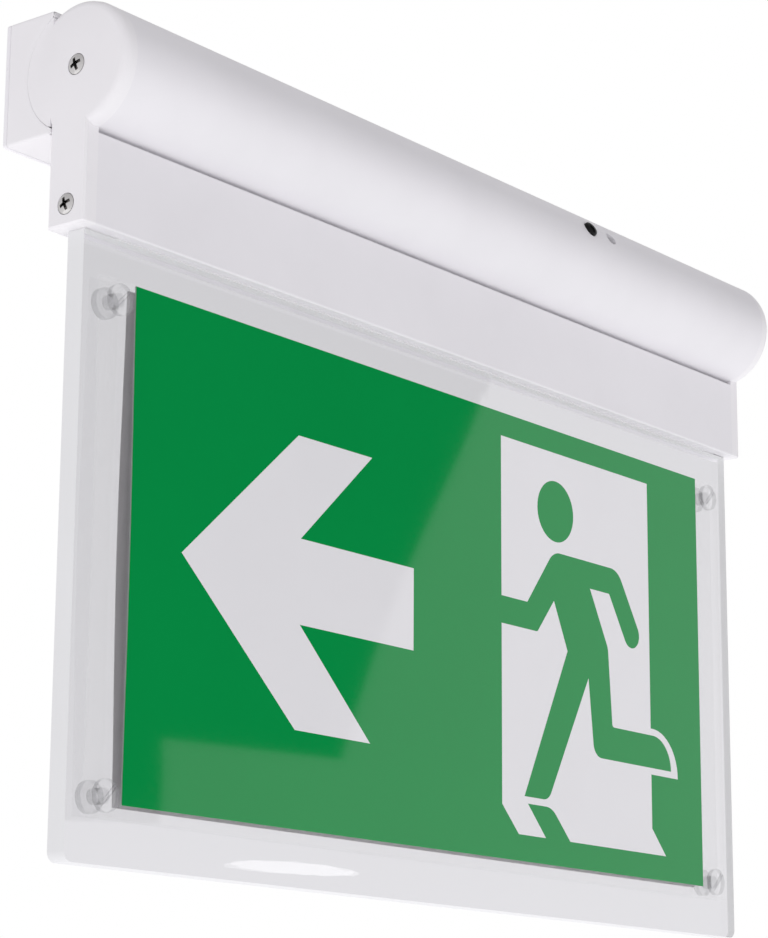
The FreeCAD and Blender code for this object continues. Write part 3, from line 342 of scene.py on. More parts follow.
# Zinc plate: grey, with a soft bluish mottling.
ZINC = Finish("zinc_plated_steel", "B3B6BA", 0.34, metallic=1.0, grain_mm=2.5, relief_mm=0.004, shade=0.06)
# Cast acrylic: water clear, with very long, low waves in its faces.
ACRYLIC = ClearFinish("cast_acrylic_clear", "F4F4F6", 0.0, ior=1.49, grain_mm=40.0, relief_mm=0.02)
# Moulded polycarbonate studs: clear and a little cloudy, seen mostly by the shine and the painted shade on
# their edges.
CLEAR_STUD = ClearFinish(
    "moulded_polycarbonate_clear", "F4F4F6", 0.12, ior=1.49, grain_mm=3.0, relief_mm=0.02,
    milk=1.0, cover=0.12)
# Walls of the studs: a darker, less clear copy of the stud finish, painted shade that shows them as fine grey
# lines.
STUD_WALL_PAINTED_SHADE = replace(
    CLEAR_STUD, name="moulded_polycarbonate_wall_painted_shade", colour="77787C", roughness=0.1, cover=0.26)
# Light pipe of the indicator: frosted and grey while it is off, with its colour made darker as painted shade
# of the recess it sits in.
LIGHT_PIPE_PAINTED_SHADE = ClearFinish(
    "frosted_acrylic_pipe_painted_shade", "6E7072", 0.4, ior=1.3, grain_mm=1.0, relief_mm=0.01, milk=0.7)
# Sanded edge of the acrylic: pale and matt, with painted glow that lightens it, though the sheet is no lamp.
SANDED_EDGE_PAINTED_GLOW = Finish(
    "cast_acrylic_sanded_edge_painted_glow", "B4B4B7", 0.55, grain_mm=0.5, relief_mm=0.008, stretch=6.0, glow=0.3)
# The same edge at the top and the right, where it is seen through the sheet, with a brighter painted glow.
SANDED_RIM_BRIGHTER_PAINTED_GLOW = replace(SANDED_EDGE_PAINTED_GLOW, name="cast_acrylic_sanded_rim_brighter_painted_glow", glow=0.42)
# Polyester film where it isn't printed: clear and glossy, too thin to bend what is behind it.
CLEAR_FILM = ClearFinish(
    "polyester_film_clear", "FFFFFF", 0.05, ior=1.49, grain_mm=30.0, relief_mm=0.004, milk=1.0, cover=0.05)
# Screen print under gloss film: flat even ink beneath a smooth shiny face.
GREEN_INK = Finish("screen_print_green_gloss", "058F45", 0.03, wander=0.01, shade=0.015)
WHITE_INK = Finish("screen_print_white_gloss", "E9E8EB", 0.03, wander=0.01, shade=0.01)
# Rear of the print: the white layer that backs the ink.
INK_BACK = Finish("screen_print_white_back", "DEDDE0", 0.45, wander=0.03, shade=0.02)
# Reflector film: dull silver grey with fine rolling marks along it.
REFLECTOR = Finish(
    "reflector_film_grey", "E0DDDE", 0.5, grain_mm=0.8, relief_mm=0.003, shade=0.04, stretch=12.0)
# Solder mask on fibreglass: glossy green over the tracks.
BOARD_GREEN = BoardFinish("solder_mask_green", "1F5E38", 0.28, relief_mm=0.03)
# White solder mask on the light source's board.
BOARD_WHITE = BoardFinish(
    "solder_mask_white", "E6E6E2", 0.35, relief_mm=0.02, track_mm=5.0, track_colour="D9D8D0")
# Silicone resin over the chips: milky yellow.
LED_RESIN = Finish("silicone_resin_yellow", "E8D87A", 0.3, grain_mm=0.3, relief_mm=0.01, shade=0.05)
# Natural nylon: waxy, slightly cream.
NYLON = Finish("moulded_nylon_natural", "E4DFD2", 0.48, grain_mm=0.5, relief_mm=0.006, shade=0.03)
# Sintered ferrite: matt charcoal with a gritty face.
FERRITE = Finish("sintered_ferrite", "2B2A2C", 0.62, grain_mm=0.3, relief_mm=0.015, shade=0.12)
# Drawn aluminium can: bright with fine lines.
CAN = Finish("drawn_aluminium", "C7C8CA", 0.28, metallic=1.0, grain_mm=0.3, relief_mm=0.004, stretch=8.0)
# Shrink sleeve round the cells: glossy and slightly rippled.
SLEEVE = Finish("pvc_shrink_sleeve_blue", "2C5A8C", 0.25, grain_mm=4.0, relief_mm=0.05, shade=0.06)
# Studio table: opal sheet lit from inside, so it is pale and even.
TABLE = Finish("opal_table_white", "F2F2F3", 0.6, grain_mm=3.0, shade=0.01, glow=0.62)


def show(name: str, mesh: Mesh, *finishes: Finish) -> Object:
    """Puts a mesh in the scene with its finishes.

    Args:
        name: name of the piece.
        mesh: its mesh, in place.
        finishes: one for each material index, none where the mesh has them.

    Returns:
        The new object.
    """
    for finish in finishes:
        mesh.materials.append(finish.build())
    mesh.name = name
    piece = bpy.data.objects.new(name, mesh)
    bpy.context.scene.collection.objects.link(piece)
    return piece


def baked(piece: Object) -> Mesh:
    """Mesh of a piece with its modifiers applied."""
    depsgraph = bpy.context.evaluated_depsgraph_get()
    return bpy.data.meshes.new_from_object(piece.evaluated_get(depsgraph), depsgraph=depsgraph)


def smoothed(mesh: Mesh) -> Mesh:
    """Shades a mesh smooth but for its real edges.

    Args:
        mesh: the mesh, which is changed.

    Returns:
        The same mesh.
    """
    mesh.polygons.foreach_set("use_smooth", [True] * len(mesh.polygons))
    mesh.set_sharp_from_angle(angle=SMOOTH_ANGLE)
    return mesh


def bevelled(piece: Object, width: float, segments: int, **edges: object) -> None:
    """Takes the edge off some of a piece's edges and leaves its flat faces flat.

    Args:
        piece: the piece, which gets the new mesh.
        width: how far from the edge it begins, in millimetres.
        segments: number of faces across.
        edges: the modifier's settings that say which edges.
    """
    bevel = piece.modifiers.new("bevel", "BEVEL")
    bevel.width = width * MM
    bevel.segments = segments
    bevel.use_clamp_overlap = False
    bevel.harden_normals = True
    for name, value in edges.items():
        setattr(bevel, name, value)
    piece.data = baked(piece)
    piece.modifiers.clear()


def closed(name: str, work: BMesh) -> Mesh:
    """Ends work on a mesh: faces outwards, smooth but for real edges.

    Args:
        name: name of the mesh.
        work: the open bmesh, which is freed.

    Returns:
        The mesh.
    """
    bmesh.ops.recalc_face_normals(work, faces=work.faces)
    mesh = bpy.data.meshes.new(name)
    work.to_mesh(mesh)
    work.free()
    return smoothed(mesh)


def refined(name: str, node: str, edge: Edge, finish: Finish) -> Object:
    """Copies a CAD node as a clean mesh with broken edges.

    Args:
        name: name of the piece.
        node: CAD node that it stands for.
        edge: how far its sharp edges are broken.
        finish: its finish.

    Returns:
        The new piece.
    """
    work = bmesh.new()
    work.from_mesh(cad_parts[node].data)
    for layer in list(work.loops.layers.uv.values()):
        work.loops.layers.uv.remove(layer)
    bmesh.ops.remove_doubles(work, verts=work.verts, dist=MERGE)
    bmesh.ops.dissolve_limit(work, angle_limit=FLAT_ANGLE, verts=work.verts, edges=work.edges)
    for face in work.faces:
        face.material_index = 0
    mesh = bpy.data.meshes.new(name)
    work.to_mesh(mesh)
    work.free()
    normals = mesh.attributes.get("custom_normal")
    if normals:
        mesh.attributes.remove(normals)
    piece = show(name, smoothed(mesh), finish)
    if edge.value:
        bevelled(piece, edge.value, BROKEN_STEPS, limit_method="ANGLE", angle_limit=BROKEN_ANGLE)
    return piece


def settle(piece: Object, body: Body, slot: str, *nodes: str) -> None:
    """Ties a piece to its body and hides the nodes it stands for.

    Args:
        piece: the piece, in place.
        body: body that it moves with.
        slot: material slot of the record; not used.
        nodes: CAD nodes that it replaces.
    """
    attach(piece, body.value)
    if nodes:
        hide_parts(*nodes)
    LOG.info("%s rides on %s, %d faces", piece.name, body.value, len(piece.data.polygons))


def dress(finish: Finish, *nodes: str) -> None:
    """Gives CAD nodes that stay as they are a better finish.

    Args:
        finish: the finish.
        nodes: names of the nodes.
    """
    for node in nodes:
        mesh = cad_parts[node].data
        mesh.materials.clear()
        mesh.materials.append(finish.build())
        LOG.info("%s keeps its solid, %s", node, finish.name)


def lathe(name: str, profile: list[Point], axis: Axis) -> Mesh:
    """Turned piece, closed at both ends.

    Args:
        name: name of the mesh.
        profile: place along the axis and radius of each point, in millimetres, from axis to axis.
        axis: axis that it stands on.

    Returns:
        The mesh, in metres.
    """
    work = bmesh.new()
    rings = []
    for along, radius in profile:
        steps = LATHE_STEPS if radius > 0 else 1
        turns = [2 * math.pi * k / steps for k in range(steps)]
        spots = [Vector((along, radius * math.cos(t), radius * math.sin(t))) * MM for t in turns]
        rings.append([work.verts.new(axis.value @ s) for s in spots])
    for low, high in zip(rings, rings[1:]):
        for k in range(LATHE_STEPS):
            corners = [ring[i % len(ring)] for ring, i in ((low, k), (low, k + 1), (high, k + 1), (high, k))]
            work.faces.new(dict.fromkeys(corners))
    return closed(name, work)


def drawn_out(name: str, outline: list[Point], start: float, end: float, axis: Axis,
              taper: float = 1.0) -> Mesh:
    """Outline drawn out along an axis, narrowing as it goes.

    Args:
        name: name of the mesh.
        outline: its points across the axis, in millimetres.
        start: where it begins along the axis.
        end: where it ends.
        axis: axis that it stands on.
        taper: size of the far end as a share of the near one.

    Returns:
        The mesh, in metres.
    """
    work = bmesh.new()
    loops = []
    for along, share in ((start, 1.0), (end, taper)):
        spots = [Vector((along, a * share, b * share)) for a, b in outline]
        loops.append([work.verts.new(axis.value @ s * MM) for s in spots])
    near, far = loops
    work.faces.new(near)
    work.faces.new(far)
    for k in range(len(near)):
        work.faces.new((near[k - 1], near[k], far[k], far[k - 1]))
    return closed(name, work)


def carved(body: Mesh, cutter: Mesh) -> Mesh:
    """First mesh with the second one cut out of it.

    Args:
        body: mesh that is cut.
        cutter: mesh that is taken out of it.

    Returns:
        The new mesh.
    """
    blank = show("carving_blank", body)
    tool = show("carving_tool", cutter)
    cut = blank.modifiers.new("cut", "BOOLEAN")
    cut.operation = "DIFFERENCE"
    cut.solver = "EXACT"
    cut.object = tool
    mesh = baked(blank)
    bpy.data.objects.remove(tool)
    bpy.data.objects.remove(blank)
    return smoothed(mesh)


def repeated(name: str, template: Mesh, sizes: Sizes, finish: Finish, places: Places) -> Object:
    """Sets a template at its places with a Geometry Nodes tree and keeps the plain mesh.

    Args:
        name: name of the piece and of its tree.
        template: mesh that is repeated.
        sizes: socket type and value of each named input.
        finish: finish of all of it.
        places: adds the nodes that set the template, and returns their geometry.

    Returns:
        The new piece.
    """
    model = bpy.data.objects.new(name + "_template", template)
    tree = bpy.data.node_groups.new(name, "GeometryNodeTree")
    tree.is_modifier = True
    tree.interface.new_socket("Geometry", in_out="OUTPUT", socket_type="NodeSocketGeometry")
    tree.interface.new_socket("Geometry", in_out="INPUT", socket_type="NodeSocketGeometry")
    given = {
        "Template": ("NodeSocketObject", model),
        "Finish": ("NodeSocketMaterial", finish.build()),
        **sizes,
    }
    keys = {}
    for label, (kind, _) in given.items():
        keys[label] = tree.interface.new_socket(label, in_out="INPUT", socket_type=kind).identifier
    inputs = add_node(tree, "NodeGroupInput").outputs
    source = add_node(tree, "GeometryNodeObjectInfo", {"Object": inputs["Template"]})
    made = places(tree, inputs, source.outputs["Geometry"])
    real = add_node(tree, "GeometryNodeRealizeInstances", {"Geometry": made})
    dressed = add_node(tree, "GeometryNodeSetMaterial", {
        "Geometry": real.outputs[0], "Material": inputs["Finish"],
    })
    add_node(tree, "NodeGroupOutput", {0: dressed.outputs[0]})
    piece = show(name, bpy.data.meshes.new(name))
    modifier = piece.modifiers.new(name, "NODES")
    modifier.node_group = tree
    for label, (_, value) in given.items():
        modifier[keys[label]] = value
    piece.data = baked(piece)
    piece.modifiers.clear()
    bpy.data.objects.remove(model)
    return piece


def rounded(corners: list[Corner]) -> list[Point]:
    """Closed outline whose corners are arcs.

    Args:
        corners: x, z and radius of each corner, in millimetres.

    Returns:
        The outline's points.
    """
    points: list[Point] = []
    for k, (x, z, radius) in enumerate(corners):
        here = Vector((x, z))
        if radius <= 0:
            points.append((x, z))
            continue
        before = (Vector(corners[k - 1][:2]) - here).normalized()
        after = (Vector(corners[(k + 1) % len(corners)][:2]) - here).normalized()
        half = before.angle(after) / 2
        centre = here + (before + after).normalized() * (radius / math.sin(half))
        start = here + before * (radius / math.tan(half)) - centre
        end = here + after * (radius / math.tan(half)) - centre
        turn = math.atan2(start.cross(end), start.dot(end))
        steps = max(2, math.ceil(abs(turn) / ARC_STEP))
        for step in range(steps + 1):
            spot = centre + Matrix.Rotation(turn * step / steps, 2) @ start
            points.append((spot.x, spot.y))
    return points


def rectangle(x0: float, z0: float, x1: float, z1: float) -> list[Point]:
    """Corners of a rectangle."""
    return [(x0, z0), (x1, z0), (x1, z1), (x0, z1)]


def crown(base: float, height: float, radius: float, steps: int) -> list[Point]:
    """Profile of a low domed head, for a lathe.

    Args:
        base: height of its rim above the origin.
        height: height of the dome above the rim.
        radius: radius of the rim.
        steps: number of parts.

    Returns:
        Place along the axis and radius of each point, from the top to the rim.
    """
    shares = [k / steps for k in range(steps + 1)]
    return [(-base - height * (1 - s * s), radius * s) for s in shares]


def circle(x: float, z: float, radius: float) -> list[Point]:
    """Outline of a circle.

    Args:
        x: X of its middle, in millimetres.
        z: Z of its middle.
        radius: its radius.

    Returns:
        The outline's points.
    """
    count = math.ceil(2 * math.pi / ARC_STEP)
    turns = [2 * math.pi * k / count for k in range(count)]
    return [(x + radius * math.cos(t), z + radius * math.sin(t)) for t in turns]


def turned(points: list[Point], degrees: float) -> list[Point]:
    """Points turned about the origin."""
    c, s = math.cos(math.radians(degrees)), math.sin(math.radians(degrees))
    return [(x * c - z * s, x * s + z * c) for x, z in points]


def divided(outline: list[Point], step: float) -> list[Point]:
    """Closed outline with no side longer than a step.

    Args:
        outline: its corners, in millimetres.
        step: the longest side that is left.

    Returns:
        The corners and the points between them.
    """
    points: list[Point] = []
    for (ax, az), (bx, bz) in zip(outline, outline[1:] + outline[:1]):
        count = max(1, math.ceil(math.hypot(bx - ax, bz - az) / step))
        points += [(ax + (bx - ax) * k / count, az + (bz - az) * k / count) for k in range(count)]
    return points


def inside(x: float, z: float, outline: list[Point]) -> bool:
    """Tells whether a point lies inside a closed outline.

    Args:
        x: X of the point.
        z: Z of the point.
        outline: the outline's points.

    Returns:
        True if it does.
    """
    odd = False
    for (ax, az), (bx, bz) in zip(outline, outline[1:] + outline[:1]):
        if (az > z) != (bz > z) and x < ax + (z - az) * (bx - ax) / (bz - az):
            odd = not odd
    return odd


class Ink(Enum):
    """What a film shows at a place, as its material index."""

    FIELD = 0
    LIGHT = 1
    CLEAR = 2
    BACK = 3


@dataclass
class SignPrint:
    """The sign's outlines, in millimetres from its own middle.

    Attributes:
        rise: how far the sign's middle is above the film's.
        field_half_width: half width of the green field.
        field_half_height: half height of the green field.
        arrow_tip: X of the arrow's tip.
        arrow_arm_outer: X of the outer ends of its arms.
        arrow_arm_inner: X of the inner ends of its arms.
        arrow_notch: X where the arms meet the shaft.
        arrow_end: X of the shaft's end.
        arrow_half_height: half the height over the arms.
        arrow_half_shaft: half the height of the shaft.
        head: X, Z and radius of the man's head.
        hand_radius: radius of the trailing hand.
    """

    rise: float = 2.0
    field_half_width: float = 150.0
    field_half_height: float = 75.0
    arrow_tip: float = -128.6
    arrow_arm_outer: float = -76.9
    arrow_arm_inner: float = -40.9
    arrow_notch: float = -75.4
    arrow_end: float = -19.4
    arrow_half_height: float = 45.4
    arrow_half_shaft: float = 13.3
    head: Corner = (59.8, 46.2, 10.7)
    hand_radius: float = 4.8213

    def arrow(self) -> list[Point]:
        """Outline of the arrow.

        Returns:
            Its corners, round from the tip.
        """
        upper = [
            (self.arrow_tip, 0.0),
            (self.arrow_arm_outer, self.arrow_half_height),
            (self.arrow_arm_inner, self.arrow_half_height),
            (self.arrow_notch, self.arrow_half_shaft),
            (self.arrow_end, self.arrow_half_shaft),
        ]
        return upper + [(x, -z) for x, z in reversed(upper[1:])]

    def door(self) -> list[Point]:
        """Outline of the door with its splayed foot."""
        return [(28.2, 66.9), (117.3, 66.9), (117.3, -57.3), (125.9, -66.3), (37.4, -66.3), (28.2, -57.2)]

    def foot_rim(self) -> list[Point]:
        """Light rim round the rear foot."""
        return rounded([(110.0, -22.0, 0), (134.4, -22.0, 15.9), (134.4, -38.3, 0), (110.0, -38.3, 0)])

    def shadow(self) -> list[Point]:
        """Dark gap under the front foot."""
        return rounded([
            (52.8, -66.3, 0), (42.6, -55.8, 0), (56.4, -55.8, 8.0), (67.0, -66.3, 0), (60.0, -68.0, 0),
        ])

    def man(self) -> list[Point]:
        """Outline of the running man's body.

        Returns:
            Its points, with the corners rounded.
        """
        hand = self.hand_radius
        return rounded([
            (26.0, 12.1, 0), (42.9, 12.1, 0), (58.4, 31.9, 8.0), (97.6, 31.9, 8.0),
            (112.6, 8.6, hand), (104.4, 3.2, hand),
            (92.1, 22.5, 0.8), (80.3, 22.5, 0), (91.0, 3.0, 6.0), (93.2, -24.4, 1.2),
            (130.1, -24.4, 11.5), (130.1, -36.0, 0), (81.9, -36.0, 5.0), (78.8, -9.2, 0),
            (54.6, -53.5, 5.0), (40.7, -53.5, 0), (66.3, -1.5, 0),
            (58.5, 14.8, 0), (48.7, 2.8, 1.5), (26.0, 2.8, 0),
        ])

    def field(self) -> list[Point]:
        """Outline of the green field."""
        w, h = self.field_half_width, self.field_half_height
        return rectangle(-w, -h, w, h)


@dataclass
class Film:
    """Thin film on the panel, with its print, its stud holes and its bow.

    Attributes:
        half_width: half of its width, in millimetres.
        half_height: half of its height.
        thickness: its thickness.
        centre_z: height of its middle.
        front_y: its front face where it lies flat.
        bow: how far its left edge stands out to the front in the middle.
        bow_half: half the height of the bowed part.
        bow_end: where along X the bow has faded out.
        stud_half_x: distance of the stud holes from the middle, along X.
        stud_half_z: distance of the stud holes from the middle, along Z.
        hole_radius: radius of the stud holes.
        step: distance between the points that let it bend.
    """

    half_width: float = 165.0
    half_height: float = 77.0
    thickness: float = 0.48
    centre_z: float = -137.6
    front_y: float = -30.7
    bow: float = 0.5
    bow_half: float = 77.0
    bow_end: float = 40.0
    stud_half_x: float = 157.2
    stud_half_z: float = 71.0
    hole_radius: float = 2.5
    step: float = 6.0

    def lift(self, x: float, z: float) -> float:
        """Distance by which the film stands off the panel at a place.

        Args:
            x: X from the film's middle, in millimetres.
            z: Z from the film's middle.

        Returns:
            The distance, to the front.
        """
        along = max(0.0, min(1.0, (self.bow_end - x) / (self.bow_end + self.half_width)))
        across = max(0.0, 1.0 - (z / self.bow_half) ** 2)
        return self.bow * along * across ** 2

    def studs(self) -> list[Point]:
        """Places of the studs, from the film's middle."""
        return [(i * self.stud_half_x, k * self.stud_half_z) for i in (-1, 1) for k in (-1, 1)]

    def holes(self) -> list[list[Point]]:
        """Outlines of the stud holes."""
        return [circle(x, z, self.hole_radius) for x, z in self.studs()]

    def border(self) -> list[Point]:
        """Outline of the film."""
        w, h = self.half_width, self.half_height
        return rectangle(-w, -h, w, h)

    def spread(self) -> list[Point]:
        """Inner points that let the film bend smoothly.

        Returns:
            The points, from the film's middle.
        """
        columns = int(2 * self.half_width / self.step)
        rows = int(2 * self.half_height / self.step)
        return [
            (self.half_width * (2 * i / columns - 1), self.half_height * (2 * k / rows - 1))
            for i in range(1, columns) for k in range(1, rows)
        ]

    def build(self, name: str, outlines: list[list[Point]],
              ink_at: Callable[[float, float], Ink]) -> Mesh:
        """Makes the film as one closed mesh, divided along its print.

        Args:
            name: name of the mesh.
            outlines: outlines of the print.
            ink_at: tells what shows at a place.

        Returns:
            The mesh, in place.
        """
        points: list[Point] = []
        edges: list[tuple[int, int]] = []
        for corners in [self.border(), *self.holes(), *outlines]:
            outline = divided(corners, self.step)
            first = len(points)
            points += outline
            edges += [(first + k, first + (k + 1) % len(outline)) for k in range(len(outline))]
        points += self.spread()
        flat, _, triangles, *_ = delaunay_2d_cdt([Vector(p) for p in points], edges, [], 0, PRINT_MERGE_MM)
        work = bmesh.new()
        fronts, rears = [], []
        for x, z in flat:
            y = self.front_y - self.lift(x, z)
            fronts.append(work.verts.new(Vector((x, y, z + self.centre_z)) * MM))
            rears.append(work.verts.new(Vector((x, y + self.thickness, z + self.centre_z)) * MM))
        holes = self.holes()
        for corners in triangles:
            x = sum(flat[k].x for k in corners) / 3
            z = sum(flat[k].y for k in corners) / 3
            if any(inside(x, z, hole) for hole in holes):
                continue
            ink = ink_at(x, z)
            work.faces.new([fronts[k] for k in corners]).material_index = ink.value
            behind = Ink.CLEAR if ink is Ink.CLEAR else Ink.BACK
            work.faces.new([rears[k] for k in reversed(corners)]).material_index = behind.value
        rear_of = dict(zip(fronts, rears))
        rims = [e for e in work.edges if len(e.link_faces) == 1 and e.verts[0] in rear_of]
        for rim in rims:
            a, b = rim.verts
            work.faces.new((a, b, rear_of[b], rear_of[a])).material_index = rim.link_faces[0].material_index
        loose = [v for v in work.verts if not v.link_faces]
        bmesh.ops.delete(work, geom=loose, context="VERTS")
        return closed(name, work)


@dataclass
class Mounting:
    """Plate on the wall and the moulded base that carries the tube.

    Attributes:
        body: body that its pieces ride on.
        half_length: half length of the base, in millimetres.
        lip: Y and Z round the lip that closes the joint below the seat, behind the skirt.
    """

    body: Body = Body.BASE
    half_length: float = 175.98
    lip: tuple[Point, ...] = ((-18.8, -16.85), (-19.7, -17.35), (-19.7, -18.6), (-18.8, -18.9))

    def build(self) -> None:
        """Makes and dresses the plate, the base and what is fixed to them."""
        lip = drawn_out("base_lip", list(self.lip), -self.half_length, self.half_length, Axis.X)
        settle(show("base_lip", lip, MOULDED_WHITE), self.body, "white_plastic")
        for name, node, finish, slot in (
            ("plate_sheet", "wall_plate", STOVE_ENAMEL, "white_steel"),
            ("base_moulding", "swivel_base", MOULDED_WHITE, "white_plastic"),
        ):
            settle(refined(name, node, Edge.SOFT, finish), self.body, slot, node)
        dress(RUBBER, "cable_grommet")
        dress(ZINC, "clamp_screws")


@dataclass
class TubeHousing:
    """Extruded tube with its skirt, end caps and end screws.

    Attributes:
        body: body that its pieces ride on.
        length: overall length, in millimetres.
        upper_screw: Y and Z of the upper screws.
        lower_screw: Y and Z of the lower screws.
        head_radius: radius of a screw head.
        head_dome: how far a head is domed.
        head_steps: number of parts of the dome's curve.
        head_depth: depth of its cone.
        shank_radius: radius of the shank.
        screw_length: length of a screw.
        recess_reach: half length of the cross recess.
        recess_width: width of its arms.
        recess_depth: its depth.
        recess_taper: size of its floor as a share of its mouth.
        recess_turn: how far the cross is turned.
        gap_half_length: half length of the gap between tube and skirt.
        gap_slit: Y and Z of two corners of the joint at the back of that gap.
        gap_floor: Z of the skirt's upper edge in the solid.
        gap_rise: how far that edge stands higher on the drawn profile.
        axis_y: Y of the tube's axis.
        radius: outer radius of the tube and the caps.
        seat_radius: radius of the caps where they lie in the seat of the base.
        seat_y: where along Y the seat begins.
        foot: Y and Z of the skirt's lower front edge.
        foot_round: how far that edge is rounded.
        foot_steps: number of faces across it.
    """

    body: Body = Body.HOUSING
    length: float = 352.0
    upper_screw: Point = (-29.3, 0.0)
    lower_screw: Point = (-27.0, -41.8)
    head_radius: float = 3.05
    head_dome: float = 0.7
    head_steps: int = 4
    head_depth: float = 1.8
    shank_radius: float = 1.7
    screw_length: float = 12.0
    recess_reach: float = 2.35
    recess_width: float = 1.2
    recess_depth: float = 1.5
    recess_taper: float = 0.6
    recess_turn: float = 70.0
    gap_half_length: float = 171.0
    gap_slit: tuple[Point, Point] = ((-32.5, -20.3), (-30.0, -19.35))
    gap_floor: float = -21.3
    gap_rise: float = 0.8
    axis_y: float = -29.3
    radius: float = 19.5
    seat_radius: float = 19.72
    seat_y: float = -19.4
    foot: Point = (-34.25, -48.2)
    foot_round: float = 0.7
    foot_steps: int = 4

    def slit(self) -> Mesh:
        """Makes the narrow joint at the back of the gap between tube and skirt.

        Returns:
            The mesh that is cut out for it.
        """
        low, high = self.gap_slit
        half = self.gap_half_length
        return drawn_out("gap_slit", rectangle(*low, *high), -half, half, Axis.X)

    def narrow_gap(self, mesh: Mesh) -> None:
        """Raises the skirt's upper edge, which leaves a narrow dark joint below the tube.

        Args:
            mesh: the tube's mesh.
        """
        for vertex in mesh.vertices:
            if abs(vertex.co.z / MM - self.gap_floor) < 2 * NEAR_MM and vertex.co.y < self.axis_y * MM:
                vertex.co.z += self.gap_rise * MM

    def seat(self, mesh: Mesh) -> None:
        """Brings a cap's rear arc close to the seat, where only a hairline shows.

        Args:
            mesh: the cap's mesh.
        """
        for vertex in mesh.vertices:
            spot = Vector((vertex.co.y / MM - self.axis_y, vertex.co.z / MM))
            if vertex.co.y > self.seat_y * MM and abs(spot.length - self.radius) < NEAR_MM:
                spot *= self.seat_radius / spot.length
                vertex.co.y, vertex.co.z = (spot.x + self.axis_y) * MM, spot.y * MM

    def round_foot(self, piece: Object) -> None:
        """Rounds the skirt's lower front edge, which catches the light from below.

        Args:
            piece: the tube or a cap.
        """
        mesh = piece.data
        foot = Vector(self.foot)
        weights = mesh.attributes.new("bevel_weight_edge", "FLOAT", "EDGE")
        for edge in mesh.edges:
            ends = [mesh.vertices[k].co / MM for k in edge.vertices]
            if all((Vector((e.y, e.z)) - foot).length < NEAR_MM for e in ends):
                weights.data[edge.index].value = 1.0
        bevelled(piece, self.foot_round, self.foot_steps, limit_method="WEIGHT")

    def screw(self) -> Mesh:
        """Makes one raised countersunk screw with a cross recess.

        Returns:
            The mesh, with its head at the origin and its shank along X.
        """
        tip = self.screw_length - self.shank_radius
        profile = crown(0.0, self.head_dome, self.head_radius, self.head_steps) + [
            (self.head_depth, self.shank_radius), (tip, self.shank_radius),
            (self.screw_length, self.shank_radius / 2), (self.screw_length, 0.0),
        ]
        a, b = self.recess_width / 2, self.recess_reach
        arm = [(b, -a), (b, a), (a, a)]
        cross = [p for k in range(4) for p in turned(arm, self.recess_turn + 90 * k)]
        cutter = drawn_out(
            "cross_recess", cross, -2 * self.head_dome, self.recess_depth, Axis.X, self.recess_taper)
        return carved(lathe("cap_screw", profile, Axis.X), cutter)

    def screw_places(self, tree: NodeTree, inputs: NodeInputs, template: NodeSocket) -> NodeSocket:
        """Sets a pair of screws at each end.

        Args:
            tree: the tree that is filled.
            inputs: its named inputs.
            template: the screw.

        Returns:
            Geometry of all four.
        """
        left = add_node(tree, "GeometryNodeMeshLine", {
            "Count": 2, "Start Location": inputs["Upper Left"], "Offset": inputs["Lower Left"],
        }, mode="END_POINTS")
        across = add_node(tree, "ShaderNodeCombineXYZ", {"X": inputs["Housing Length"]})
        right = add_node(tree, "GeometryNodeTransform", {
            "Geometry": left.outputs[0], "Translation": across.outputs[0],
        })
        both = add_node(tree, "GeometryNodeJoinGeometry")
        for line, turn in ((left, 0.0), (right, math.pi)):
            pair = add_node(tree, "GeometryNodeInstanceOnPoints", {
                "Points": line.outputs[0], "Instance": template, "Rotation": (turn, 0.0, turn),
            })
            tree.links.new(pair.outputs[0], both.inputs[0])
        return both.outputs[0]

    def build(self) -> None:
        """Makes and dresses the tube, the caps and the screws."""
        tube = refined("tube_shell", "tube_housing", Edge.AS_MODELLED, POWDER_COAT)
        self.narrow_gap(tube.data)
        tube.data = carved(tube.data, self.slit())
        self.round_foot(tube)
        settle(tube, self.body, "white_aluminium", "tube_housing")
        for side in ("left", "right"):
            cap = refined(f"cap_{side}", f"end_cap_{side}", Edge.AS_MODELLED, MOULDED_WHITE)
            self.seat(cap.data)
            self.round_foot(cap)
            settle(cap, self.body, "white_plastic", f"end_cap_{side}")
        end = -self.length / 2
        screws = repeated("cap_screw_set", self.screw(), {
            "Upper Left": ("NodeSocketVector", Vector((end, *self.upper_screw)) * MM),
            "Lower Left": ("NodeSocketVector", Vector((end, *self.lower_screw)) * MM),
            "Housing Length": ("NodeSocketFloat", self.length * MM),
        }, NICKEL, self.screw_places)
        settle(screws, self.body, "bright_steel", "end_cap_screws")
        dress(RUBBER, "slot_grommet")
        dress(ZINC, "clamp_shoes")


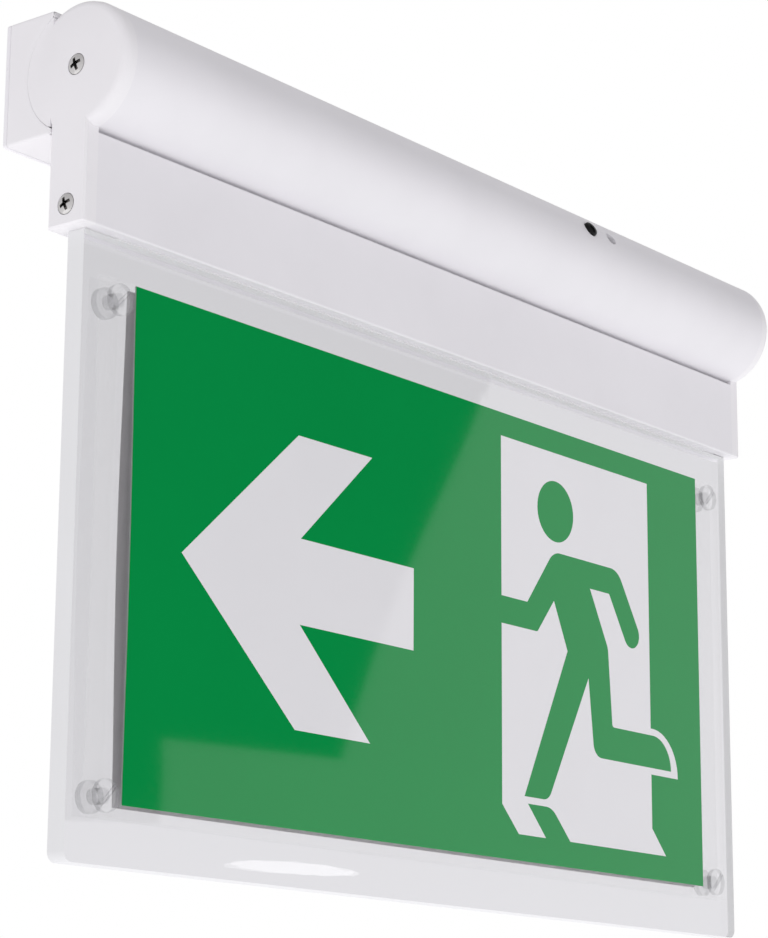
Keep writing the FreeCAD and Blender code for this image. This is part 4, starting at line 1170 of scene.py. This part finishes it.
@dataclass
class Controls:
    """Test button and indicator in the tube's front.

    Attributes:
        button_x: X of the button's middle, in millimetres.
        axis_y: Y of the tube's axis.
        lean: how far the button looks up, in degrees.
        face: distance of the button's face from the tube's axis.
        dome_radius: radius of the dome on it.
        dome_height: height of the dome.
        dome_root: how deep the dome is set in.
        dome_steps: number of parts of the dome's curve.
    """

    button_x: float = 60.0
    axis_y: float = -29.3
    lean: float = 29.0
    face: float = 20.0
    dome_radius: float = 2.75
    dome_height: float = 1.0
    dome_root: float = 0.3
    dome_steps: int = 6

    def dome(self) -> Mesh:
        """Makes the domed face of the button.

        Returns:
            The mesh, in place.
        """
        root, height, radius = self.dome_root, self.dome_height, self.dome_radius
        turns = [math.pi / 2 * k / self.dome_steps for k in range(self.dome_steps)]
        round_top = [(height * math.sin(t), radius * math.cos(t)) for t in turns]
        mesh = lathe("button_dome", [(-root, 0.0), (-root, radius), *round_top, (height, 0.0)], Axis.X)
        lean = math.radians(self.lean)
        out, side = Vector((0.0, -math.cos(lean), math.sin(lean))), Vector((1.0, 0.0, 0.0))
        turn = Matrix((out, side, out.cross(side))).transposed().to_4x4()
        place = Vector((self.button_x, self.axis_y, 0.0)) + out * self.face
        mesh.transform(Matrix.Translation(place * MM) @ turn)
        return mesh

    def build(self) -> None:
        """Makes and dresses the button, the indicator and what is behind them."""
        button = refined("button_cap", "test_button", Edge.FINE, BLACK_PLASTIC)
        settle(button, Body.BUTTON, "black_plastic", "test_button")
        settle(show("button_dome", self.dome(), BLACK_PLASTIC), Body.BUTTON, "black_plastic")
        pipe = refined("indicator_pipe", "status_light_pipe", Edge.SOFT, LIGHT_PIPE_PAINTED_SHADE)
        settle(pipe, Body.HOUSING, "clear_acrylic", "status_light_pipe")
        dress(BLACK_PLASTIC, "test_switch")
        dress(BOARD_GREEN, "status_board")


@dataclass
class Gear:
    """Control gear and battery inside the tube, which keep their solids."""

    def build(self) -> None:
        """Gives each piece of the gear its finish."""
        dress(ZINC, "gear_tray", "battery_straps")
        dress(BOARD_GREEN, "driver_board")
        dress(NYLON, "board_pillars", "plug_header", "terminal_block")
        dress(FERRITE, "transformer")
        dress(CAN, "capacitors")
        dress(SLEEVE, "battery_pack")


class Pane(Enum):
    """What the panel shows at a place, as its material index; both edges carry painted glow, the far one
    brighter.
    """

    CLEAR = 0
    NEAR_EDGE_PAINTED_GLOW = 1
    FAR_EDGE_PAINTED_GLOW = 2


@dataclass
class LightPanel:
    """Clear panel, what holds it and the row of lights above it.

    Attributes:
        film: the film whose studs pass through the panel.
        body: body that its pieces ride on.
        edge_x: sanded edges of the panel lie further out than this along X, in millimetres.
        edge_low: its lower sanded edge lies below this.
        edge_high: its upper sanded edges lie above this.
        tongue_z: height where the tongue that goes up into the skirt begins.
        tongue_joint: width of the joint there.
        led_count: number of lights in the row.
        led_pitch: distance between them.
        led_first: X of the first one's middle.
        led_y: their middle along Y.
        led_top: Z of their upper faces.
        led_size: length, width and height of one.
        led_taper: size of its lower face as a share of its upper one.
        lens_radius: radius of the resin well in one.
        lens_taper: size of the well's floor as a share of its mouth.
    """

    film: Film
    body: Body = Body.HOUSING
    edge_x: float = 166.0
    edge_low: float = -222.0
    edge_high: float = -49.0
    tongue_z: float = -48.5
    tongue_joint: float = 0.05
    led_count: int = 20
    led_pitch: float = 16.0
    led_first: float = -152.0
    led_y: float = -27.0
    led_top: float = -28.2
    led_size: tuple[float, float, float] = (3.0, 2.6, 0.8)
    led_taper: float = 0.92
    lens_radius: float = 1.0
    lens_taper: float = 0.8

    def led(self) -> Mesh:
        """Makes one light package with its round well.

        Returns:
            The mesh, hanging from the origin.
        """
        x, y, z = (s / 2 for s in self.led_size)
        package = drawn_out("led_package", rectangle(-y, -x, y, x), 0.0, 2 * z, Axis.X, self.led_taper)
        mouth = circle(0.0, 0.0, self.lens_radius)
        mesh = carved(package, drawn_out("led_well", mouth, 3 * z, z, Axis.X, self.lens_taper))
        mesh.transform(Matrix.Rotation(math.pi / 2, 4, "Y"))
        return mesh

    def led_places(self, tree: NodeTree, inputs: NodeInputs, template: NodeSocket) -> NodeSocket:
        """Sets the lights in a row.

        Args:
            tree: the tree that is filled.
            inputs: its named inputs.
            template: one light.

        Returns:
            Geometry of the row.
        """
        step = add_node(tree, "ShaderNodeCombineXYZ", {"X": inputs["Pitch"]})
        row = add_node(tree, "GeometryNodeMeshLine", {
            "Count": inputs["Count"], "Start Location": inputs["First Place"], "Offset": step.outputs[0],
        })
        lights = add_node(tree, "GeometryNodeInstanceOnPoints", {
            "Points": row.outputs[0], "Instance": template,
        })
        return lights.outputs[0]

    def part_tongue(self, work: BMesh) -> None:
        """Parts the tongue from the sheet, so that the sheet's upper edge gets the same painted glow as the
        others.

        Args:
            work: the panel's mesh, which is left open at the joint.
        """
        everything = [*work.verts, *work.edges, *work.faces]
        cut = bmesh.ops.bisect_plane(
            work, geom=everything, plane_co=(0.0, 0.0, self.tongue_z * MM), plane_no=(0.0, 0.0, 1.0))
        ring = [e for e in cut["geom_cut"] if isinstance(e, BMEdge)]
        bmesh.ops.split_edges(work, edges=ring)
        for vertex in work.verts:
            at_joint = abs(vertex.co.z - self.tongue_z * MM) < MERGE
            if at_joint and any(f.calc_center_median().z > vertex.co.z for f in vertex.link_faces):
                vertex.co.z += self.tongue_joint * MM

    def finish_rim(self, mesh: Mesh) -> None:
        """Gives the rim its sanded look with painted glow, brighter on faces that look right or up, and
        closes the holes that the studs fill.

        Args:
            mesh: the panel's mesh, with the rim's two painted-glow finishes after its own.
        """
        work = bmesh.new()
        work.from_mesh(mesh)
        studs = [Vector((x, z + self.film.centre_z)) for x, z in self.film.studs()]
        walls = []
        for face in work.faces:
            x, _, z = face.calc_center_median() / MM
            near = min((Vector((x, z)) - s).length for s in studs) < 2 * self.film.hole_radius
            if near and abs(face.normal.y) < FACING:
                walls.append(face)
        bmesh.ops.delete(work, geom=walls, context="FACES")
        self.part_tongue(work)
        bmesh.ops.holes_fill(work, edges=[e for e in work.edges if e.is_boundary])
        bmesh.ops.recalc_face_normals(work, faces=work.faces)
        for face in work.faces:
            x, _, z = face.calc_center_median() / MM
            outer = abs(x) > self.edge_x or z < self.edge_low or z > self.edge_high
            sanded = outer and abs(face.normal.y) < FACING
            pane = Pane.CLEAR
            if sanded or z > self.tongue_z + self.tongue_joint:
                # Faces that look right or up get the brighter painted glow.
                far = max(face.normal.x, face.normal.z) > FACING
                pane = Pane.FAR_EDGE_PAINTED_GLOW if far else Pane.NEAR_EDGE_PAINTED_GLOW
            face.material_index = pane.value
        work.to_mesh(mesh)
        work.free()
        mesh.set_sharp_from_angle(angle=SMOOTH_ANGLE)

    def build(self) -> None:
        """Makes and dresses the panel and the row of lights."""
        panel = refined("panel_clear", "light_guide_panel", Edge.AS_MODELLED, ACRYLIC)
        # The rim's two finishes carry painted glow.
        for finish in (SANDED_EDGE_PAINTED_GLOW, SANDED_RIM_BRIGHTER_PAINTED_GLOW):
            panel.data.materials.append(finish.build())
        self.finish_rim(panel.data)
        settle(panel, self.body, "clear_acrylic", "light_guide_panel")
        row = repeated("led_row", self.led(), {
            "Count": ("NodeSocketInt", self.led_count),
            "Pitch": ("NodeSocketFloat", self.led_pitch * MM),
            "First Place": ("NodeSocketVector", Vector((self.led_first, self.led_y, self.led_top)) * MM),
        }, LED_RESIN, self.led_places)
        settle(row, self.body, "led_resin", "led_chips")
        dress(BOARD_WHITE, "led_board")
        dress(MOULDED_WHITE, "panel_frame")
        dress(ZINC, "panel_pins")


@dataclass
class SignFilms:
    """Printed film, reflector film and the clear studs that hold both.

    Attributes:
        front: the printed film.
        rear: the reflector film behind the panel.
        body: body that its pieces ride on.
        reflector_half_width: half width of the reflector's grey field, in millimetres.
        reflector_low: lower edge of the grey field, from the film's middle.
        reflector_high: its upper edge.
        head_radius: radius of a stud's head.
        head_height: height of its head.
        rim_height: height of the head's edge.
        head_steps: number of parts of the dome's curve.
        shank_radius: radius of its shank.
        slot_width: width of its slot.
        slot_depth: depth of its slot.
        slot_turn: how far the slot is turned.
        shank_end: Y of the shank's end.
    """

    front: Film
    rear: Film
    body: Body = Body.HOUSING
    reflector_half_width: float = 149.4
    reflector_low: float = -73.3
    reflector_high: float = 76.5
    head_radius: float = 4.7
    head_height: float = 2.2
    rim_height: float = 1.6
    head_steps: int = 5
    shank_radius: float = 2.3
    slot_width: float = 1.0
    slot_depth: float = 0.9
    slot_turn: float = -45.0
    shank_end: float = -23.3

    def print_film(self) -> None:
        """Makes the printed film."""
        art = SignPrint()
        arrow, door, rim = art.arrow(), art.door(), art.foot_rim()
        man, shadow, head = art.man(), art.shadow(), circle(*art.head)
        field = art.field()

        def ink_at(x: float, z: float) -> Ink:
            """Ink of the sign at a place on the film.

            Args:
                x: X from the film's middle.
                z: Z from the film's middle.

            Returns:
                The ink.
            """
            z -= art.rise
            if not inside(x, z, field):
                return Ink.CLEAR
            if inside(x, z, arrow):
                return Ink.LIGHT
            light = inside(x, z, door) or inside(x, z, rim)
            dark = inside(x, z, man) or inside(x, z, shadow) or inside(x, z, head)
            return Ink.LIGHT if light and not dark else Ink.FIELD

        shapes = [field, arrow, door, rim, man, shadow, head]
        raised = [[(x, z + art.rise) for x, z in shape] for shape in shapes]
        mesh = self.front.build("sign_print", raised, ink_at)
        piece = show("sign_print", mesh, GREEN_INK, WHITE_INK, CLEAR_FILM, INK_BACK)
        settle(piece, self.body, "sign_film", "pictogram_sheet")

    def reflector_film(self) -> None:
        """Makes the reflector film behind the panel."""
        half = self.reflector_half_width
        field = rectangle(-half, self.reflector_low, half, self.reflector_high)

        def ink_at(x: float, z: float) -> Ink:
            """Grey field or clear margin."""
            return Ink.FIELD if inside(x, z, field) else Ink.CLEAR

        mesh = self.rear.build("reflector_film", [field], ink_at)
        piece = show("reflector_film", mesh, REFLECTOR, REFLECTOR, CLEAR_FILM, REFLECTOR)
        settle(piece, self.body, "backing_film", "backing_sheet")

    def stud(self) -> Mesh:
        """Makes one domed stud with a slot.

        Returns:
            The mesh, with its head's seat at the origin and its shank along Y.
        """
        head, shank, length = self.head_radius, self.shank_radius, self.shank_end - self.front.front_y
        dome = crown(self.rim_height, self.head_height - self.rim_height, head, self.head_steps)
        profile = dome + [(0.0, head), (0.0, shank), (length, shank), (length, 0.0)]
        half = self.slot_width / 2
        bar = turned(rectangle(-2 * head, -half, 2 * head, half), self.slot_turn)
        floor = self.slot_depth - self.head_height
        cutter = drawn_out("stud_slot", bar, -2 * self.head_height, floor, Axis.Y)
        return carved(lathe("stud", profile, Axis.Y), cutter)

    def stud_places(self, tree: NodeTree, inputs: NodeInputs, template: NodeSocket) -> NodeSocket:
        """Sets a stud at each corner of the film.

        Args:
            tree: the tree that is filled.
            inputs: its named inputs.
            template: one stud.

        Returns:
            Geometry of the four studs.
        """
        grid = add_node(tree, "GeometryNodeMeshGrid", {
            "Size X": inputs["Spacing X"], "Size Y": inputs["Spacing Z"], "Vertices X": 2, "Vertices Y": 2,
        })
        upright = add_node(tree, "GeometryNodeTransform", {
            "Geometry": grid.outputs["Mesh"], "Rotation": (math.pi / 2, 0.0, 0.0),
            "Translation": inputs["Middle"],
        })
        studs = add_node(tree, "GeometryNodeInstanceOnPoints", {
            "Points": upright.outputs[0], "Instance": template,
        })
        return studs.outputs[0]

    def paint_wall_shade(self, piece: Object) -> None:
        """Paints shade on the walls of clear pieces, as fine grey lines.

        Args:
            piece: studs or rings, with their axes along Y.
        """
        piece.data.materials.append(STUD_WALL_PAINTED_SHADE.build())
        wall = len(piece.data.materials) - 1
        for face in piece.data.polygons:
            if abs(face.normal.y) < FACING:
                face.material_index = wall

    def build(self) -> None:
        """Makes and dresses the films and the studs."""
        self.print_film()
        self.reflector_film()
        film = self.front
        studs = repeated("stud_set", self.stud(), {
            "Spacing X": ("NodeSocketFloat", 2 * film.stud_half_x * MM),
            "Spacing Z": ("NodeSocketFloat", 2 * film.stud_half_z * MM),
            "Middle": ("NodeSocketVector", Vector((0.0, film.front_y, film.centre_z)) * MM),
        }, CLEAR_STUD, self.stud_places)
        self.paint_wall_shade(studs)
        settle(studs, self.body, "clear_acrylic", "sheet_studs")
        rings = refined("stud_rings", "sheet_stud_caps", Edge.FINE, CLEAR_STUD)
        self.paint_wall_shade(rings)
        settle(rings, self.body, "clear_acrylic", "sheet_stud_caps")


@dataclass
class Studio:
    """White studio with soft light all round, dark gaps at front right and the camera.

    Attributes:
        camera_place: place of the camera, in metres.
        camera_forward: direction that it looks in.
        camera_up: its upper side.
        lens: focal length, in millimetres.
        sensor: width of the sensor, in millimetres.
        table_z: height of the table.
        table_half: half of the table's width.
        light_colour: sRGB hex value of the light all round.
        light_below: light from straight below.
        light_above: light from straight above.
        gaps: corners of the dark gaps in the light, as azimuth from the front to the right and elevation.
        gap_blur: softness of their edges.
        gap_light: share of the light that is left in them.
        streak_aim: place on the panel where the strip light is mirrored, in metres.
        streak_place: azimuth and elevation of the strip light from there.
        streak_distance: its distance.
        streak_size: its length and width.
        streak_roll: how far it is tilted, in degrees.
        streak_power: its power in watts.
    """

    camera_place: Vector = Vector((-0.70681, -0.56724, -0.30112))
    camera_forward: Vector = Vector((0.75947, 0.60637, 0.23564))
    camera_up: Vector = Vector((-0.18822, -0.14191, 0.97182))
    lens: float = 106.89
    sensor: float = 36.0
    table_z: float = -0.45
    table_half: float = 3.0
    light_colour: str = "FEFDFF"
    light_below: float = 1.2
    light_above: float = 0.55
    gaps: tuple[tuple[Point, ...], ...] = (
        ((30.0, 7.35), (50.6, 7.35), (57.1, 24.0), (30.0, 24.0)),
        ((30.0, 6.33), (46.85, 6.33), (46.85, 9.0), (30.0, 9.0)),
        ((40.0, 22.0), (66.0, 22.0), (90.0, 36.0), (90.0, 52.0), (40.0, 52.0)),
    )
    gap_blur: float = 0.0008
    gap_light: float = 0.02
    streak_aim: Vector = Vector((-0.076, -0.0302, -0.2222))
    streak_place: Point = (49.67, 5.46)
    streak_distance: float = 1.2
    streak_size: Point = (0.093, 0.0085)
    streak_roll: float = -4.0
    streak_power: float = 0.0034

    @staticmethod
    def direction(azimuth: float, elevation: float) -> Vector:
        """Direction by azimuth from the front to the right and elevation, in degrees."""
        a, e = math.radians(azimuth), math.radians(elevation)
        return Vector((math.sin(a) * math.cos(e), -math.cos(a) * math.cos(e), math.sin(e)))

    def region(self, tree: NodeTree, ray: NodeSocket, corners: tuple[Point, ...]) -> NodeSocket:
        """Adds nodes that are one in a convex region of the sky and zero outside it.

        Args:
            tree: the world's node tree.
            ray: direction that is looked up.
            corners: azimuth and elevation of its corners.

        Returns:
            The share's socket.
        """
        spots = [self.direction(*c) for c in corners]
        middle = sum(spots, Vector((0.0, 0.0, 0.0)))
        share = None
        for first, second in zip(spots, spots[1:] + spots[:1]):
            normal = first.cross(second).normalized()
            side = add_node(tree, "ShaderNodeVectorMath", {
                0: ray, 1: normal * math.copysign(1.0, normal.dot(middle)),
            }, operation="DOT_PRODUCT")
            within = add_node(tree, "ShaderNodeMapRange", {
                "Value": side.outputs["Value"], "From Min": -self.gap_blur, "From Max": self.gap_blur,
            }, interpolation_type="SMOOTHSTEP").outputs[0]
            if share:
                both = add_node(tree, "ShaderNodeMath", {0: share, 1: within}, operation="MULTIPLY")
                within = both.outputs[0]
            share = within
        return share

    def gap(self, tree: NodeTree, ray: NodeSocket) -> NodeSocket:
        """Adds nodes that are one in the dark gaps.

        Args:
            tree: the world's node tree.
            ray: direction that is looked up.

        Returns:
            The share's socket.
        """
        share, *others = [self.region(tree, ray, corners) for corners in self.gaps]
        for other in others:
            share = add_node(tree, "ShaderNodeMath", {0: share, 1: other}, operation="MAXIMUM").outputs[0]
        return share

    def light_world(self) -> None:
        """Makes the light that comes from all round, white where the camera looks past the object."""
        world = bpy.data.worlds.new("studio_white")
        bpy.context.scene.world = world
        world.use_nodes = True
        tree = world.node_tree
        tree.nodes.clear()
        place = add_node(tree, "ShaderNodeTexCoord")
        split = add_node(tree, "ShaderNodeSeparateXYZ", {0: place.outputs["Generated"]})
        strength = add_node(tree, "ShaderNodeMapRange", {
            "Value": split.outputs["Z"], "From Min": -1.0, "From Max": 1.0,
            "To Min": self.light_below, "To Max": self.light_above,
        }).outputs[0]
        gap = self.gap(tree, place.outputs["Generated"])
        left = add_node(tree, "ShaderNodeMapRange", {
            "Value": gap, "To Min": 1.0, "To Max": self.gap_light,
        }).outputs[0]
        total = add_node(tree, "ShaderNodeMath", {0: strength, 1: left}, operation="MULTIPLY").outputs[0]
        soft = add_node(tree, "ShaderNodeBackground", {"Color": linear(self.light_colour), "Strength": total})
        plain = add_node(tree, "ShaderNodeBackground", {"Color": WHITE, "Strength": 1.0})
        ray = add_node(tree, "ShaderNodeLightPath")
        mix = add_node(tree, "ShaderNodeMixShader", {
            0: ray.outputs["Is Camera Ray"], 1: soft.outputs[0], 2: plain.outputs[0],
        })
        add_node(tree, "ShaderNodeOutputWorld", {"Surface": mix.outputs[0]})

    def lay_table(self) -> None:
        """Makes the pale table below the object."""
        half = self.table_half
        work = bmesh.new()
        corners = rectangle(-half, -half, half, half)
        work.faces.new([work.verts.new((x, y, self.table_z)) for x, y in corners])
        mesh = bpy.data.meshes.new("studio_table")
        work.to_mesh(mesh)
        work.free()
        show("studio_table", mesh, TABLE)

    def hang_streak(self) -> None:
        """Makes the small strip light that the panel's lower edge mirrors."""
        light = bpy.data.lights.new("strip_light", "AREA")
        light.shape = "ELLIPSE"
        light.size, light.size_y = self.streak_size
        light.energy = self.streak_power
        strip = bpy.data.objects.new("strip_light", light)
        bpy.context.scene.collection.objects.link(strip)
        out = self.direction(*self.streak_place)
        across = out.cross(Vector((0.0, 0.0, 1.0))).normalized()
        turn = Matrix((across, out.cross(across), out)).transposed().to_4x4()
        roll = Matrix.Rotation(math.radians(self.streak_roll), 4, "Z")
        strip.matrix_world = Matrix.Translation(self.streak_aim + out * self.streak_distance) @ turn @ roll

    def set_camera(self) -> None:
        """Makes the camera at the photograph's viewing angle."""
        camera = bpy.data.objects.new("camera", bpy.data.cameras.new("camera"))
        bpy.context.scene.collection.objects.link(camera)
        camera.data.lens = self.lens
        camera.data.sensor_width = self.sensor
        forward = self.camera_forward.normalized()
        right = forward.cross(self.camera_up).normalized()
        up = right.cross(forward)
        turn = Matrix((right, up, -forward)).transposed().to_4x4()
        camera.matrix_world = Matrix.Translation(self.camera_place) @ turn
        bpy.context.scene.camera = camera

    def build(self) -> None:
        """Makes the light, the table and the camera."""
        bpy.context.scene.view_settings.view_transform = "Standard"
        self.light_world()
        self.hang_streak()
        self.lay_table()
        self.set_camera()


def main() -> None:
    """Builds the sub-assemblies in order."""
    logging.basicConfig(level=logging.INFO, format="%(message)s")
    printed = Film()
    reflector = Film(front_y=-23.78, bow=-1.2)
    panel, films = LightPanel(printed), SignFilms(printed, reflector)
    for part in (Mounting(), TubeHousing(), Controls(), Gear(), panel, films, Studio()):
        LOG.info("building %s", type(part).__name__)
        part.build()


if __name__ == "__main__":
    main()
